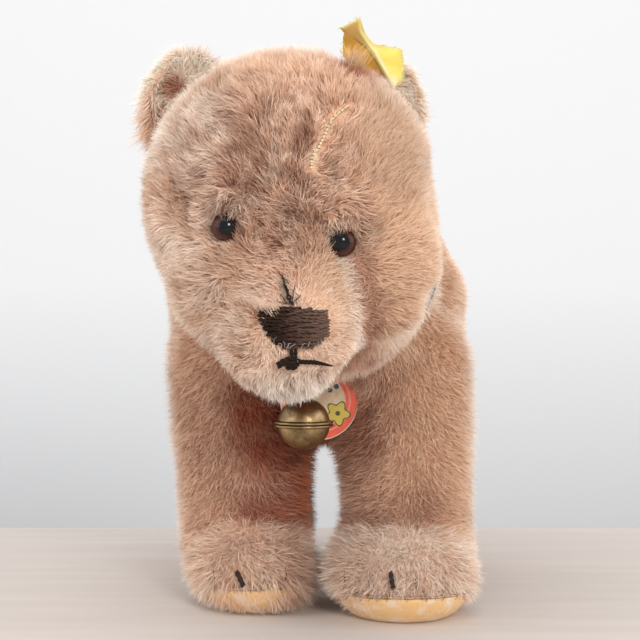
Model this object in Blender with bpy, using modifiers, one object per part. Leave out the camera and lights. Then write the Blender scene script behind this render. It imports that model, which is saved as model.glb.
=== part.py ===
"""A worn mohair teddy bear standing on all fours, with its head lowered.

Units are metres. +Z is up, the nose points to -Y and +X is the bear's left side.
The origin lies under the middle of the bear, on the surface that it stands on.

Every soft piece is a closed solid whose surface is the middle of the pile, so hair stands
about two millimetres proud of it. Features of the face, the feet and the neck are found by
casting rays on those surfaces, so they follow when a size changes.
"""

import math
from collections import namedtuple

import bmesh
import bpy
from mathutils import Matrix, Vector
from mathutils.bvhtree import BVHTree

OBJECT_NAME = "mohair_bear"

# Clearances
CLEARANCE = 0.0003
PRESS_IN = 0.0011
FAR = 0.4

# Head
SKULL_CENTRE = (-0.0070, -0.0580, 0.1130)
SKULL_RADII = (0.0365, 0.0340, 0.0365)
MUZZLE_FROM_SKULL = (-0.0015, -0.0225, -0.0333)
MUZZLE_RADII = (0.0167, 0.0180, 0.0157)
BRIDGE_FROM_SKULL = (-0.0010, -0.0215, -0.0160)
BRIDGE_RADII = (0.0135, 0.0125, 0.0140)
CHEEK_FROM_SKULL = (0.0192, -0.0115, -0.0165)
CHEEK_RADII = (0.0176, 0.0175, 0.0195)
JAW_FROM_SKULL = (-0.0122, -0.0110, -0.0215)
JAW_RADII = (0.0172, 0.0170, 0.0160)

# Ears
EAR_WIDTH = 0.0250
EAR_HEIGHT = 0.0260
EAR_THICKNESS = 0.0075
EAR_CUP = 0.0050
EAR_TURN = 16.0
EAR_RISE = 0.0045

# Each ear's angle from upright on the skull, its own lean and how far back it stands
Ear = namedtuple("Ear", "name angle lean back")
EARS = (
    Ear("ear_left", 38.0, 24.0, 0.0185),
    Ear("ear_right", -45.0, -30.0, 0.0115),
)

# Eyes: places on the face from the skull's centre, across and up
EYE_RIGHT_AT = (-0.0153, -0.0082)
EYE_LEFT_AT = (0.0122, -0.0117)
EYE_DIAMETER = 0.0072
EYE_DOME_HEIGHT = 0.0031
EYE_BACK_DEPTH = 0.0012
EYE_SUNK = 0.0010
EYE_OUTWARD = 0.35
SHANK_WIRE = 0.0008
SHANK_WIDTH = 0.0026
SHANK_LENGTH = 0.0070

# Nose, mouth and forehead seam
NOSE_AT = (0.0008, -0.0318)
NOSE_WIDTH = 0.0165
NOSE_HEIGHT = 0.0102
NOSE_PROUD = 0.0024
NOSE_ROW = 0.0011
NOSE_GROOVE = 0.00035
NOSE_OUTLINE_POWER = 2.2
MOUTH_THREAD = 0.0013
MOUTH_DROP = 0.0014
MOUTH_RIGHT_REACH = (-0.0038, -0.0024)
MOUTH_LEFT_REACH = (0.0082, -0.0020)
SEAM_START = (0.0046, 0.0070)
SEAM_END = (0.0152, 0.0224)
SEAM_BOW = -0.0022
SEAM_INSET = 0.08
SEAM_GROOVE = 0.0018
SEAM_STITCH = 0.0022
SEAM_THREAD = 0.0005

# Trunk: the neck runs from the head to the chest
NECK_RADIUS = 0.0333
NECK_FRONT_FROM_SKULL = (0.0040, 0.0300, -0.0135)
NECK_BACK = (0.0010, 0.0020, 0.0985)
CHEST_CENTRE = (-0.0010, 0.0230, 0.0895)
CHEST_RADII = (0.0436, 0.0320, 0.0420)
BREAST_CENTRE = (0.0000, 0.0095, 0.0665)
BREAST_RADII = (0.0280, 0.0160, 0.0180)
RUMP_CENTRE = (0.0010, 0.0680, 0.0885)
RUMP_RADII = (0.0425, 0.0320, 0.0430)
TRUNK_STEPS = 5

# Legs: a hip, an ankle and a foot each, as place and radius
Leg = namedtuple("Leg", "name hip hip_radius ankle ankle_radius foot foot_turn foot_radii claw_shift")
FOOT_CENTRE_HEIGHT = 0.0115
LEGS = (
    Leg("front_right", (-0.0240, 0.0110, 0.0680), 0.0196, (-0.0226, 0.0050, 0.0270), 0.0174,
        (-0.0196, -0.0040), 14.0, (0.0162, 0.0222, 0.0152), -0.0036),
    Leg("front_left", (0.0234, 0.0040, 0.0680), 0.0194, (0.0256, -0.0040, 0.0270), 0.0172,
        (0.0228, -0.0155), 2.0, (0.0203, 0.0234, 0.0160), -0.0070),
    Leg("hind_right", (-0.0224, 0.0700, 0.0600), 0.0205, (-0.0214, 0.0760, 0.0220), 0.0168,
        (-0.0212, 0.0660), 0.0, (0.0165, 0.0228, 0.0152), 0.0),
    Leg("hind_left", (0.0248, 0.0700, 0.0600), 0.0195, (0.0264, 0.0760, 0.0220), 0.0168,
        (0.0266, 0.0660), 0.0, (0.0165, 0.0228, 0.0152), 0.0),
)

# Felt soles
PAD_THICKNESS = 0.0015
PAD_TOE_RISE = 0.0085
PAD_HEEL_RISE = 0.0030

# Claws, stitched in thread over the toes
CLAWS_PER_FOOT = 4
CLAW_PITCH = 0.0058
CLAW_TOP = 0.0154
CLAW_BOTTOM = 0.0104
CLAW_THREAD = 0.0013

# Cord round the neck, with its knot at the nape
CORD_DIAMETER = 0.0018
CORD_PLACE = 0.0380
CORD_LEAN = -5.0
KNOT_DIAMETER = 0.0040
KNOT_TAIL = 0.0050
BELL_ACROSS = -0.0044

# Jingle bell, its ring and its eye
BELL_DIAMETER = 0.0143
BELL_FLANGE_DIAMETER = 0.0163
BELL_WALL = 0.0005
BELL_FLANGE_THICKNESS = 0.0006
BELL_SLOT_WIDTH = 0.0013
BELL_SLOT_LENGTH = 0.0080
BELL_SLOT_HOLE = 0.0026
PELLET_DIAMETER = 0.0042
BELL_WIRE = 0.0009
RING_DIAMETER = 0.0056
LOOP_WIDTH = 0.0030
LOOP_LEG = 0.0020

# Card tag on the chest
TAG_DIAMETER = 0.0220
TAG_THICKNESS = 0.0008
TAG_FROM_BELL = (0.0042, 0.0052)
TAG_HOLE = 0.0018
TAG_HOLE_IN = 0.0018
TAG_THREAD = 0.0006
TAG_LOOP_DIAMETER = 0.0040

# Cloth tag at the ear: the fold's ends from the middle of the ear, seen from the front,
# and how wide each leaf is along the fold, because the cloth is folded across its corners
EAR_TAG_FOLD_TOP = (-0.0062, 0.0161)
EAR_TAG_FOLD_FOOT = (0.0046, 0.0021)
EAR_TAG_THICKNESS = 0.0006
EAR_TAG_FOLD_PROUD = 0.0046
EAR_TAG_INNER_LEAF = ((0.0, 0.0026), (0.35, 0.0076), (0.80, 0.0032), (1.0, 0.0016))
EAR_TAG_OUTER_LEAF = ((0.0, 0.0016), (0.26, 0.0016), (0.62, 0.0072), (1.0, 0.0012))
EAR_TAG_MARGIN = 0.0020
EAR_TAG_CURL = 0.0036
EAR_TAG_STITCH = 0.0020
EAR_TAG_STITCH_AT = 0.38

# The exact solver loses this piece where the cord's groove crosses the seat of the head
MANIFOLD_PARTS = ("body",)

# Fineness of the soft surfaces
VOXEL = 0.0032
SMOOTH_ROUNDS = 8
HEAD_KEEP = 0.20
BODY_KEEP = 0.105
CORD_POINTS = 40

COLOURS = {
    "mohair": ((0.46, 0.27, 0.17, 1.0), 0.95, 0.0),
    "felt": ((0.80, 0.42, 0.22, 1.0), 0.95, 0.0),
    "thread": ((0.055, 0.035, 0.028, 1.0), 0.75, 0.0),
    "seam": ((0.30, 0.19, 0.12, 1.0), 0.85, 0.0),
    "glass": ((0.10, 0.035, 0.012, 1.0), 0.04, 0.0),
    "steel": ((0.45, 0.44, 0.42, 1.0), 0.40, 1.0),
    "cord": ((0.045, 0.16, 0.20, 1.0), 0.85, 0.0),
    "brass": ((0.36, 0.26, 0.12, 1.0), 0.35, 1.0),
    "card": ((0.74, 0.12, 0.09, 1.0), 0.60, 0.0),
    "ribbon": ((0.88, 0.62, 0.06, 1.0), 0.80, 0.0),
}


def clear_scene():
    """Remove every object, so that the script can be run again in an open file."""
    for item in list(bpy.data.objects):
        bpy.data.objects.remove(item, do_unlink=True)


def new_collection(name):
    collection = bpy.data.collections.new(name)
    bpy.context.scene.collection.children.link(collection)
    return collection


def material(name):
    """One Principled material of the palette, made on its first use."""
    found = bpy.data.materials.get(name)
    if found:
        return found
    colour, roughness, metallic = COLOURS[name]
    made = bpy.data.materials.new(name)
    made.use_nodes = True
    shader = made.node_tree.nodes["Principled BSDF"]
    shader.inputs["Base Color"].default_value = colour
    shader.inputs["Roughness"].default_value = roughness
    shader.inputs["Metallic"].default_value = metallic
    made.diffuse_color = colour
    return made


def add_part(name, mesh, finish, matrix=None, parent=None):
    """A sub-part of the bear, in the object's collection."""
    part = bpy.data.objects.new(name, mesh)
    part.data.materials.clear()
    part.data.materials.append(material(finish))
    PARTS.objects.link(part)
    part.parent = parent or ORIGIN
    if matrix is not None:
        part.matrix_parent_inverse = Matrix.Identity(4)
        part.matrix_local = matrix
    return part


def add_cutter(name, mesh, matrix=None):
    """A mesh that only cuts others."""
    cutter = bpy.data.objects.new(name, mesh)
    CUTTERS.objects.link(cutter)
    cutter.parent = ORIGIN
    if matrix is not None:
        cutter.matrix_local = matrix
    cutter.hide_render = True
    cutter.display_type = "WIRE"
    return cutter


def combine(part, tool, operation):
    """Give the object a live Boolean with another one."""
    modifier = part.modifiers.new(operation.lower() + " " + tool.name, "BOOLEAN")
    modifier.operation = operation
    modifier.solver = "MANIFOLD" if part.name in MANIFOLD_PARTS else "EXACT"
    modifier.object = tool


def cut(part, cutter):
    """Note that the cutter's shape comes out of the part once every piece is in place."""
    CUTS.append((part, cutter))


def evaluated_mesh(item):
    """A new mesh of the object as its modifiers leave it."""
    bpy.context.view_layer.update()
    depsgraph = bpy.context.evaluated_depsgraph_get()
    return bpy.data.meshes.new_from_object(item.evaluated_get(depsgraph))


def mesh_from(work, name, smooth_angle=35.0):
    """Turn a bmesh into a mesh that is smooth apart from its sharp edges."""
    mesh = bpy.data.meshes.new(name)
    work.to_mesh(mesh)
    work.free()
    mesh.shade_smooth()
    mesh.set_sharp_from_angle(angle=math.radians(smooth_angle))
    return mesh


def ellipsoid(work, centre, radii, turn=0.0, segments=28, rings=18):
    """Add an ellipsoid to a bmesh, turned about Z in degrees."""
    placed = Matrix.Translation(centre) @ Matrix.Rotation(math.radians(turn), 4, "Z")
    placed = placed @ Matrix.Diagonal((*radii, 1.0))
    ball = bmesh.new()
    bmesh.ops.create_uvsphere(ball, u_segments=segments, v_segments=rings, radius=1.0, matrix=placed)
    mesh = bpy.data.meshes.new("ball")
    ball.to_mesh(mesh)
    ball.free()
    work.from_mesh(mesh)
    bpy.data.meshes.remove(mesh)


def capsule(work, start, start_radius, end, end_radius, steps=6):
    """Add a row of spheres from one place to another, which a remesh turns into a limb."""
    for step in range(steps + 1):
        share = step / steps
        centre = Vector(start).lerp(Vector(end), share)
        radius = start_radius + (end_radius - start_radius) * share
        ellipsoid(work, centre, (radius, radius, radius))


def soft_solid(work, name, keep):
    """Fuse the overlapping shapes of a bmesh into one smooth closed surface."""
    mesh = mesh_from(work, name)
    lump = bpy.data.objects.new(name + "_lump", mesh)
    CUTTERS.objects.link(lump)
    remesh = lump.modifiers.new("fuse", "REMESH")
    remesh.mode = "VOXEL"
    remesh.voxel_size = VOXEL
    smooth = lump.modifiers.new("smooth", "SMOOTH")
    smooth.factor = 0.5
    smooth.iterations = SMOOTH_ROUNDS
    thin = lump.modifiers.new("thin", "DECIMATE")
    thin.ratio = keep
    fused = evaluated_mesh(lump)
    bpy.data.objects.remove(lump, do_unlink=True)
    fused.shade_smooth()
    return fused


def grown(mesh, amount, name):
    """A copy of a closed mesh with its surface moved outwards."""
    work = bmesh.new()
    work.from_mesh(mesh)
    work.normal_update()
    moves = [vertex.normal * amount for vertex in work.verts]
    for vertex, move in zip(work.verts, moves):
        vertex.co += move
    return mesh_from(work, name)


def tree_of(mesh):
    work = bmesh.new()
    work.from_mesh(mesh)
    tree = BVHTree.FromBMesh(work)
    work.free()
    return tree


def hit(tree, start, direction):
    """The first point and normal that a ray meets on a surface."""
    point, normal, _, _ = tree.ray_cast(Vector(start), Vector(direction).normalized())
    if point is None:
        raise ValueError(f"no surface is met from {tuple(start)}")
    return point, normal


def on_face(tree, across, up):
    """The point of the head that shows at this place when it is seen from the front."""
    start = (SKULL_CENTRE[0] + across, -FAR, SKULL_CENTRE[2] + up)
    return hit(tree, start, (0.0, 1.0, 0.0))


def from_skull(offset):
    return Vector(SKULL_CENTRE) + Vector(offset)


def tube(name, points, radius, cyclic=False, sides=2):
    """A round tube along points, as a closed mesh."""
    curve = bpy.data.curves.new(name, "CURVE")
    curve.dimensions = "3D"
    curve.bevel_depth = radius
    curve.bevel_resolution = sides
    curve.use_fill_caps = not cyclic
    spline = curve.splines.new("POLY")
    spline.points.add(len(points) - 1)
    for knot, point in zip(spline.points, points):
        knot.co = (*point, 1.0)
    spline.use_cyclic_u = cyclic
    wire = bpy.data.objects.new(name, curve)
    CUTTERS.objects.link(wire)
    mesh = evaluated_mesh(wire)
    bpy.data.objects.remove(wire, do_unlink=True)
    work = bmesh.new()
    work.from_mesh(mesh)
    bmesh.ops.remove_doubles(work, verts=work.verts, dist=0.00001)
    return mesh_from(work, name)


def turned(name, profile, steps=18):
    """A shape turned about Z from (radius, height) points that run down its outer side."""
    mesh = bpy.data.meshes.new(name)
    points = [(radius, 0.0, height) for radius, height in profile]
    edges = [(index, index + 1) for index in range(len(points) - 1)]
    mesh.from_pydata(points, edges, [])
    blank = bpy.data.objects.new(name, mesh)
    CUTTERS.objects.link(blank)
    screw = blank.modifiers.new("turn", "SCREW")
    screw.steps = steps
    screw.render_steps = steps
    screw.use_merge_vertices = True
    screw.merge_threshold = 0.000001
    made = evaluated_mesh(blank)
    bpy.data.objects.remove(blank, do_unlink=True)
    made.shade_smooth()
    made.set_sharp_from_angle(angle=math.radians(35.0))
    return made


def arc(centre, radius, start, end, steps):
    """Points of an arc in a plane, from one angle to another in degrees."""
    angles = [math.radians(start + (end - start) * step / steps) for step in range(steps + 1)]
    return [(centre[0] + radius * math.cos(a), centre[1] + radius * math.sin(a)) for a in angles]


def frame_from(point, normal, up=(0.0, 0.0, 1.0)):
    """A matrix at a point whose +Z runs along a normal and whose +Y is as near up as it can be."""
    z_axis = Vector(normal).normalized()
    x_axis = Vector(up).cross(z_axis).normalized()
    y_axis = z_axis.cross(x_axis)
    turn = Matrix((x_axis, y_axis, z_axis)).transposed().to_4x4()
    return Matrix.Translation(point) @ turn


def head_mesh():
    """Skull, muzzle, the bridge between the eyes, a full left cheek and the jaw."""
    work = bmesh.new()
    ellipsoid(work, SKULL_CENTRE, SKULL_RADII)
    ellipsoid(work, from_skull(MUZZLE_FROM_SKULL), MUZZLE_RADII)
    ellipsoid(work, from_skull(BRIDGE_FROM_SKULL), BRIDGE_RADII)
    ellipsoid(work, from_skull(CHEEK_FROM_SKULL), CHEEK_RADII)
    ellipsoid(work, from_skull(JAW_FROM_SKULL), JAW_RADII)
    return soft_solid(work, "head", HEAD_KEEP)


def body_mesh():
    """Trunk, neck, legs and feet, with the feet cut off flat at the floor."""
    work = bmesh.new()
    capsule(work, from_skull(NECK_FRONT_FROM_SKULL), NECK_RADIUS, NECK_BACK, NECK_RADIUS)
    for step in range(TRUNK_STEPS + 1):
        share = step / TRUNK_STEPS
        centre = Vector(CHEST_CENTRE).lerp(Vector(RUMP_CENTRE), share)
        ellipsoid(work, centre, Vector(CHEST_RADII).lerp(Vector(RUMP_RADII), share))
    ellipsoid(work, BREAST_CENTRE, BREAST_RADII)
    for leg in LEGS:
        capsule(work, leg.hip, leg.hip_radius, leg.ankle, leg.ankle_radius)
        heel = (leg.ankle[0], leg.ankle[1], leg.ankle_radius)
        capsule(work, leg.ankle, leg.ankle_radius, heel, leg.ankle_radius)
        ellipsoid(work, foot_centre(leg), leg.foot_radii, leg.foot_turn)
    return soft_solid(work, "body", BODY_KEEP)


def foot_centre(leg):
    return Vector((leg.foot[0], leg.foot[1], FOOT_CENTRE_HEIGHT))


def below_floor():
    """A block under the floor, wide enough for the whole bear."""
    work = bmesh.new()
    placed = Matrix.Translation((0.0, 0.0, -FAR / 2)) @ Matrix.Scale(FAR, 4)
    bmesh.ops.create_cube(work, size=1.0, matrix=placed)
    return mesh_from(work, "below_floor")


def pad_mesh(leg, name, grow_out, grow_in):
    """A felt sole: a dish between two ellipsoids, under a plane that rises to the toes."""
    centre = foot_centre(leg)
    radii = Vector(leg.foot_radii)
    outer = bmesh.new()
    ellipsoid(outer, centre, radii + Vector((grow_out, grow_out, grow_out)), leg.foot_turn, 20, 12)
    dish = add_cutter(name + "_dish", mesh_from(outer, name + "_dish"))
    inner = bmesh.new()
    thinner = PAD_THICKNESS + grow_in
    ellipsoid(inner, centre, radii - Vector((thinner, thinner, thinner)), leg.foot_turn, 20, 12)
    core = add_cutter(name + "_core", mesh_from(inner, name + "_core"))
    flat = add_cutter(name + "_flat", slab(leg, -FAR, PAD_THICKNESS + grow_in, 0.0))
    combine(core, flat, "DIFFERENCE")
    slope = math.atan2(PAD_TOE_RISE - PAD_HEEL_RISE, 2.0 * leg.foot_radii[1])
    middle = (PAD_TOE_RISE + PAD_HEEL_RISE) / 2.0 + grow_in
    combine(dish, add_cutter(name + "_above", slab(leg, middle, FAR, -slope)), "DIFFERENCE")
    if grow_out == 0.0:
        combine(dish, add_cutter(name + "_floor", slab(leg, -FAR, 0.0, 0.0)), "DIFFERENCE")
    combine(dish, core, "DIFFERENCE")
    return evaluated_mesh(dish)


def slab(leg, low, high, slope):
    """A wide block between two heights over a foot, tilted about the foot's own cross axis."""
    work = bmesh.new()
    placed = Matrix.Translation((leg.foot[0], leg.foot[1], 0.0))
    placed = placed @ Matrix.Rotation(math.radians(leg.foot_turn), 4, "Z")
    placed = placed @ Matrix.Rotation(slope, 4, "X")
    placed = placed @ Matrix.Translation((0.0, 0.0, (low + high) / 2.0))
    placed = placed @ Matrix.Diagonal((FAR, FAR, high - low, 1.0))
    bmesh.ops.create_cube(work, size=1.0, matrix=placed)
    return mesh_from(work, "slab")


def claw_points(leg, tree, index, lift):
    """Points of one claw stitch, from above the toe down to it, laid on the pile."""
    turn = Matrix.Rotation(math.radians(leg.foot_turn), 4, "Z")
    aside = (index - (CLAWS_PER_FOOT - 1) / 2.0) * CLAW_PITCH + leg.claw_shift
    points = []
    for step in range(5):
        height = CLAW_TOP + (CLAW_BOTTOM - CLAW_TOP) * step / 4.0
        start = foot_centre(leg) + turn @ Vector((aside, -1.3 * leg.foot_radii[1], 0.0))
        start.z = height
        point, normal = hit(tree, start, turn @ Vector((0.0, 1.0, 0.0)))
        points.append(point + normal * lift)
    return points


def make_feet(body, body_tree):
    """Felt soles let into the feet, and the claw stitches over the toes."""
    for leg in LEGS:
        sole = pad_mesh(leg, "sole_" + leg.name, 0.0, 0.0)
        add_part("paw_pad_" + leg.name, sole, "felt")
        room = pad_mesh(leg, "room_" + leg.name, PAD_TOE_RISE, CLEARANCE)
        cut(body, add_cutter("sole_room_" + leg.name, room))
        for index in range(CLAWS_PER_FOOT):
            name = f"claw_{leg.name}_{index + 1}"
            lift = CLAW_THREAD / 2.0 + CLEARANCE + 0.0001
            stitch = tube(name, claw_points(leg, body_tree, index, lift), CLAW_THREAD / 2.0, sides=1)
            add_part(name, stitch, "thread")


def ear_matrix(ear, head_tree):
    """Where an ear stands: on a ray from the skull's centre, up and to one side."""
    angle = math.radians(ear.angle)
    ray = Vector((math.sin(angle), 0.0, math.cos(angle)))
    start = Vector(SKULL_CENTRE) + Vector((0.0, ear.back, 0.0))
    root, _ = hit(head_tree, start + ray * FAR, -ray)
    centre = root + ray * EAR_RISE
    turn = Matrix.Rotation(math.radians(ear.lean), 4, "Y")
    turn = turn @ Matrix.Rotation(math.radians(math.copysign(EAR_TURN, ear.angle)), 4, "Z")
    return Matrix.Translation(centre) @ turn


def ear_mesh(name):
    """A flat ellipsoid, cupped towards the front."""
    work = bmesh.new()
    radii = (EAR_WIDTH / 2.0, EAR_THICKNESS / 2.0, EAR_HEIGHT / 2.0)
    ellipsoid(work, (0.0, 0.0, 0.0), radii, 0.0, 20, 12)
    for vertex in work.verts:
        reach = (vertex.co.x / radii[0]) ** 2 + (vertex.co.z / radii[2]) ** 2
        vertex.co.y -= EAR_CUP * reach
    return mesh_from(work, name)


def make_ears(head_mesh_data, head_tree):
    """Two ears whose roots follow the head."""
    seat = add_cutter("ear_seat", grown(head_mesh_data, CLEARANCE, "ear_seat"))
    made = []
    for ear in EARS:
        made.append(add_part(ear.name, ear_mesh(ear.name), "mohair", ear_matrix(ear, head_tree)))
        cut(made[-1], seat)
    return made


def eye_profile(grow):
    """Half outline of a glass eye: a dome in front and a shallow back."""
    radius = EYE_DIAMETER / 2.0
    front = [
        ((radius + grow) * math.sin(math.radians(a)), (EYE_DOME_HEIGHT + grow) * math.cos(math.radians(a)))
        for a in range(0, 91, 15)
    ]
    back = [
        ((radius + grow) * math.sin(math.radians(a)), (EYE_BACK_DEPTH + grow) * math.cos(math.radians(a)))
        for a in range(120, 181, 30)
    ]
    return front + back


def make_eyes(head, head_tree):
    """Glass eyes in their sockets, each with the wire shank that is sewn into the head."""
    for name, place in (("right", EYE_RIGHT_AT), ("left", EYE_LEFT_AT)):
        point, normal = on_face(head_tree, *place)
        facing = (normal * EYE_OUTWARD + Vector((0.0, -1.0, 0.0)) * (1.0 - EYE_OUTWARD)).normalized()
        matrix = frame_from(point - facing * EYE_SUNK, facing)
        add_part("eye_" + name, turned("eye_" + name, eye_profile(0.0)), "glass", matrix)
        cut(head, add_cutter("eye_socket_" + name, turned("eye_socket", eye_profile(CLEARANCE)), matrix))
        top = -EYE_BACK_DEPTH - CLEARANCE - SHANK_WIRE / 2.0
        bend = SHANK_WIDTH / 2.0
        low = -EYE_BACK_DEPTH - SHANK_LENGTH
        hairpin = [(bend, 0.0, top), (bend, 0.0, low + bend)]
        hairpin += [(x, 0.0, z) for x, z in arc((0.0, low + bend), bend, -15.0, -165.0, 6)]
        hairpin += [(-bend, 0.0, low + bend), (-bend, 0.0, top)]
        add_part("eye_shank_" + name, tube("shank", hairpin, SHANK_WIRE / 2.0), "steel", matrix)
        work = bmesh.new()
        bore = SHANK_WIDTH / 2.0 + SHANK_WIRE / 2.0 + CLEARANCE
        depth = SHANK_LENGTH + SHANK_WIRE / 2.0 + CLEARANCE
        placed = Matrix.Translation((0.0, 0.0, -EYE_BACK_DEPTH - depth / 2.0))
        bmesh.ops.create_cone(work, cap_ends=True, segments=16, radius1=bore, radius2=bore,
                              depth=depth, matrix=placed)
        cut(head, add_cutter("shank_bore_" + name, mesh_from(work, "shank_bore"), matrix))


def nose_mesh():
    """A stitched nose: level rows of thread on a shield outline, bulging forwards."""
    rows = max(4, round(NOSE_HEIGHT / NOSE_ROW))
    rings = 2 * rows
    work = bmesh.new()
    bmesh.ops.create_uvsphere(work, u_segments=12, v_segments=rings, radius=1.0)
    for vertex in work.verts:
        angle = math.acos(max(-1.0, min(1.0, vertex.co.z)))
        level = round(angle / math.pi * rings)
        down = level / rings
        around = math.atan2(vertex.co.y, vertex.co.x)
        wide = max(0.0, 1.0 - down ** NOSE_OUTLINE_POWER) ** (1.0 / NOSE_OUTLINE_POWER)
        groove = NOSE_GROOVE if level % 2 == 0 else 0.0
        if level in (0, rings):
            wide = 0.0
        bulge = math.sin(math.pi * (0.12 + 0.76 * down)) ** 0.5 if wide else 0.0
        vertex.co.x = wide * math.cos(around) * (NOSE_WIDTH / 2.0 - groove)
        vertex.co.y = bulge * math.sin(around) * (NOSE_PROUD - groove)
        vertex.co.z = NOSE_HEIGHT * (0.5 - down)
    return mesh_from(work, "nose", 20.0)


def make_nose(head_mesh_data, head_tree):
    """The nose follows the muzzle behind it, and the mouth hangs from its lower end."""
    point, normal = on_face(head_tree, *NOSE_AT)
    slope = math.atan2(-normal.z, -normal.y)
    matrix = Matrix.Translation(point) @ Matrix.Rotation(-slope * 0.6, 4, "X")
    nose = add_part("nose", nose_mesh(), "thread", matrix)
    cut(nose, add_cutter("nose_seat", grown(head_mesh_data, CLEARANCE, "nose_seat")))

    lift = MOUTH_THREAD / 2.0 + CLEARANCE + 0.0001
    foot = matrix @ Vector((0.0, 0.0, -NOSE_HEIGHT / 2.0))
    top = (foot.x - SKULL_CENTRE[0], foot.z - SKULL_CENTRE[2] - MOUTH_THREAD / 2.0 - CLEARANCE)
    fork = (top[0], top[1] - MOUTH_DROP)
    strokes = [laid(head_tree, top, fork, 4, lift)]
    for reach in (MOUTH_LEFT_REACH, MOUTH_RIGHT_REACH):
        strokes.append(laid(head_tree, fork, (fork[0] + reach[0], fork[1] + reach[1]), 6, lift))
    mouth = add_part("mouth", tube("mouth", strokes[0], MOUTH_THREAD / 2.0), "thread")
    for index, stroke in enumerate(strokes[1:]):
        join = add_cutter(f"mouth_stroke_{index}", tube("stroke", stroke, MOUTH_THREAD / 2.0))
        combine(mouth, join, "UNION")


def laid(tree, start, end, steps, lift, bow=0.0, weave=0.0, inset=0.0):
    """Points of a thread on the face between two places, or short of both by an inset share."""
    start = Vector(start)
    end = Vector(end)
    along = (end - start).normalized()
    across = Vector((along.y, -along.x))
    points = []
    for step in range(steps + 1):
        share = inset + (1.0 - 2.0 * inset) * step / steps
        place = start.lerp(end, share) + across * (bow * math.sin(math.pi * share))
        place += across * (weave if step % 2 else -weave)
        point, normal = on_face(tree, place.x, place.y)
        points.append(point + normal * lift)
    return points


def make_seam(head, head_tree):
    """The forehead seam: a groove worn in the pile, and the thread that whips it shut."""
    length = (Vector(SEAM_END) - Vector(SEAM_START)).length
    steps = 2 * max(2, round(length / SEAM_STITCH))
    groove = laid(head_tree, SEAM_START, SEAM_END, steps, 0.0, SEAM_BOW)
    cut(head, add_cutter("seam_groove", tube("seam_groove", groove, SEAM_GROOVE / 2.0)))
    depth = SEAM_THREAD / 2.0 + CLEARANCE - SEAM_GROOVE / 2.0
    weave = SEAM_GROOVE / 8.0
    thread = laid(head_tree, SEAM_START, SEAM_END, steps, depth, SEAM_BOW, weave, SEAM_INSET)
    add_part("seam_thread", tube("seam_thread", thread, SEAM_THREAD / 2.0), "seam")


def cord_path(body_tree):
    """The cord's centre line: round the neck in a leaning plane, from the nape and back."""
    centre = from_skull(NECK_FRONT_FROM_SKULL).lerp(Vector(NECK_BACK), 0.5)
    centre.y = SKULL_CENTRE[1] + CORD_PLACE
    lean = Matrix.Rotation(math.radians(CORD_LEAN), 4, "X")
    reaches = []
    rays = []
    for step in range(CORD_POINTS):
        angle = 2.0 * math.pi * step / CORD_POINTS
        ray = lean @ Vector((math.sin(angle), 0.0, math.cos(angle)))
        point, _ = hit(body_tree, centre, ray)
        reaches.append((point - centre).length)
        rays.append(ray)
    path = []
    for step in range(CORD_POINTS):
        near = [reaches[(step + shift) % CORD_POINTS] for shift in (-2, -1, 0, 1, 2)]
        reach = sum(near) / len(near) + CORD_DIAMETER / 2.0 - PRESS_IN
        path.append(centre + rays[step] * reach)
    return path


def make_cord(body, path):
    """The cord in the pile, and the knot that its two ends run into."""
    spacing = (path[1] - path[0]).length
    skip = max(1, math.ceil((KNOT_DIAMETER / 2.0 + CLEARANCE) / spacing))
    radius = CORD_DIAMETER / 2.0
    nape = path[0]
    half_long = skip * spacing - 2.0 * CLEARANCE
    half_thick = KNOT_DIAMETER * 0.4
    work = bmesh.new()
    ellipsoid(work, nape, (half_long, half_thick, half_thick), 0.0, 12, 8)
    knot = add_part("cord_knot", mesh_from(work, "cord_knot"), "cord")
    for side in (-1.0, 1.0):
        rise = Vector((side * KNOT_TAIL * 0.35, KNOT_TAIL * 0.75, KNOT_TAIL * 0.55))
        tail = tube("cord_tail", [nape, nape + rise * 0.5, nape + rise], radius * 0.8, sides=1)
        combine(knot, add_cutter(f"cord_tail_{int(side)}", tail), "UNION")
    room = bmesh.new()
    wider = (half_long + CLEARANCE, KNOT_DIAMETER / 2.0 + CLEARANCE, KNOT_DIAMETER / 2.0 + CLEARANCE)
    ellipsoid(room, nape, wider, 0.0, 13, 9)
    cut(body, add_cutter("knot_room", mesh_from(room, "knot_room")))

    add_part("neck_cord", tube("neck_cord", path[skip:len(path) - skip + 1], radius), "cord")
    groove = tube("cord_groove", path, radius + CLEARANCE, cyclic=True)
    cut(body, add_cutter("cord_groove", groove))


def shell_profile():
    """Half outline of a bell shell, from its top down the outside to its flange, and back up."""
    outer = BELL_DIAMETER / 2.0
    inner = outer - BELL_WALL
    gap = CLEARANCE / 2.0
    lip = math.degrees(math.asin((gap + BELL_FLANGE_THICKNESS) / outer))
    start = math.degrees(math.asin(gap / inner))
    profile = [(0.0, outer)]
    profile += arc((0.0, 0.0), outer, 80.0, lip, 7)
    profile += [(BELL_FLANGE_DIAMETER / 2.0 - BELL_FLANGE_THICKNESS / 3.0, gap + BELL_FLANGE_THICKNESS)]
    profile += [(BELL_FLANGE_DIAMETER / 2.0, gap + BELL_FLANGE_THICKNESS / 2.0)]
    profile += [(BELL_FLANGE_DIAMETER / 2.0, gap)]
    profile += arc((0.0, 0.0), inner, start, 80.0, 6)
    profile += [(0.0, inner)]
    return profile


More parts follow.
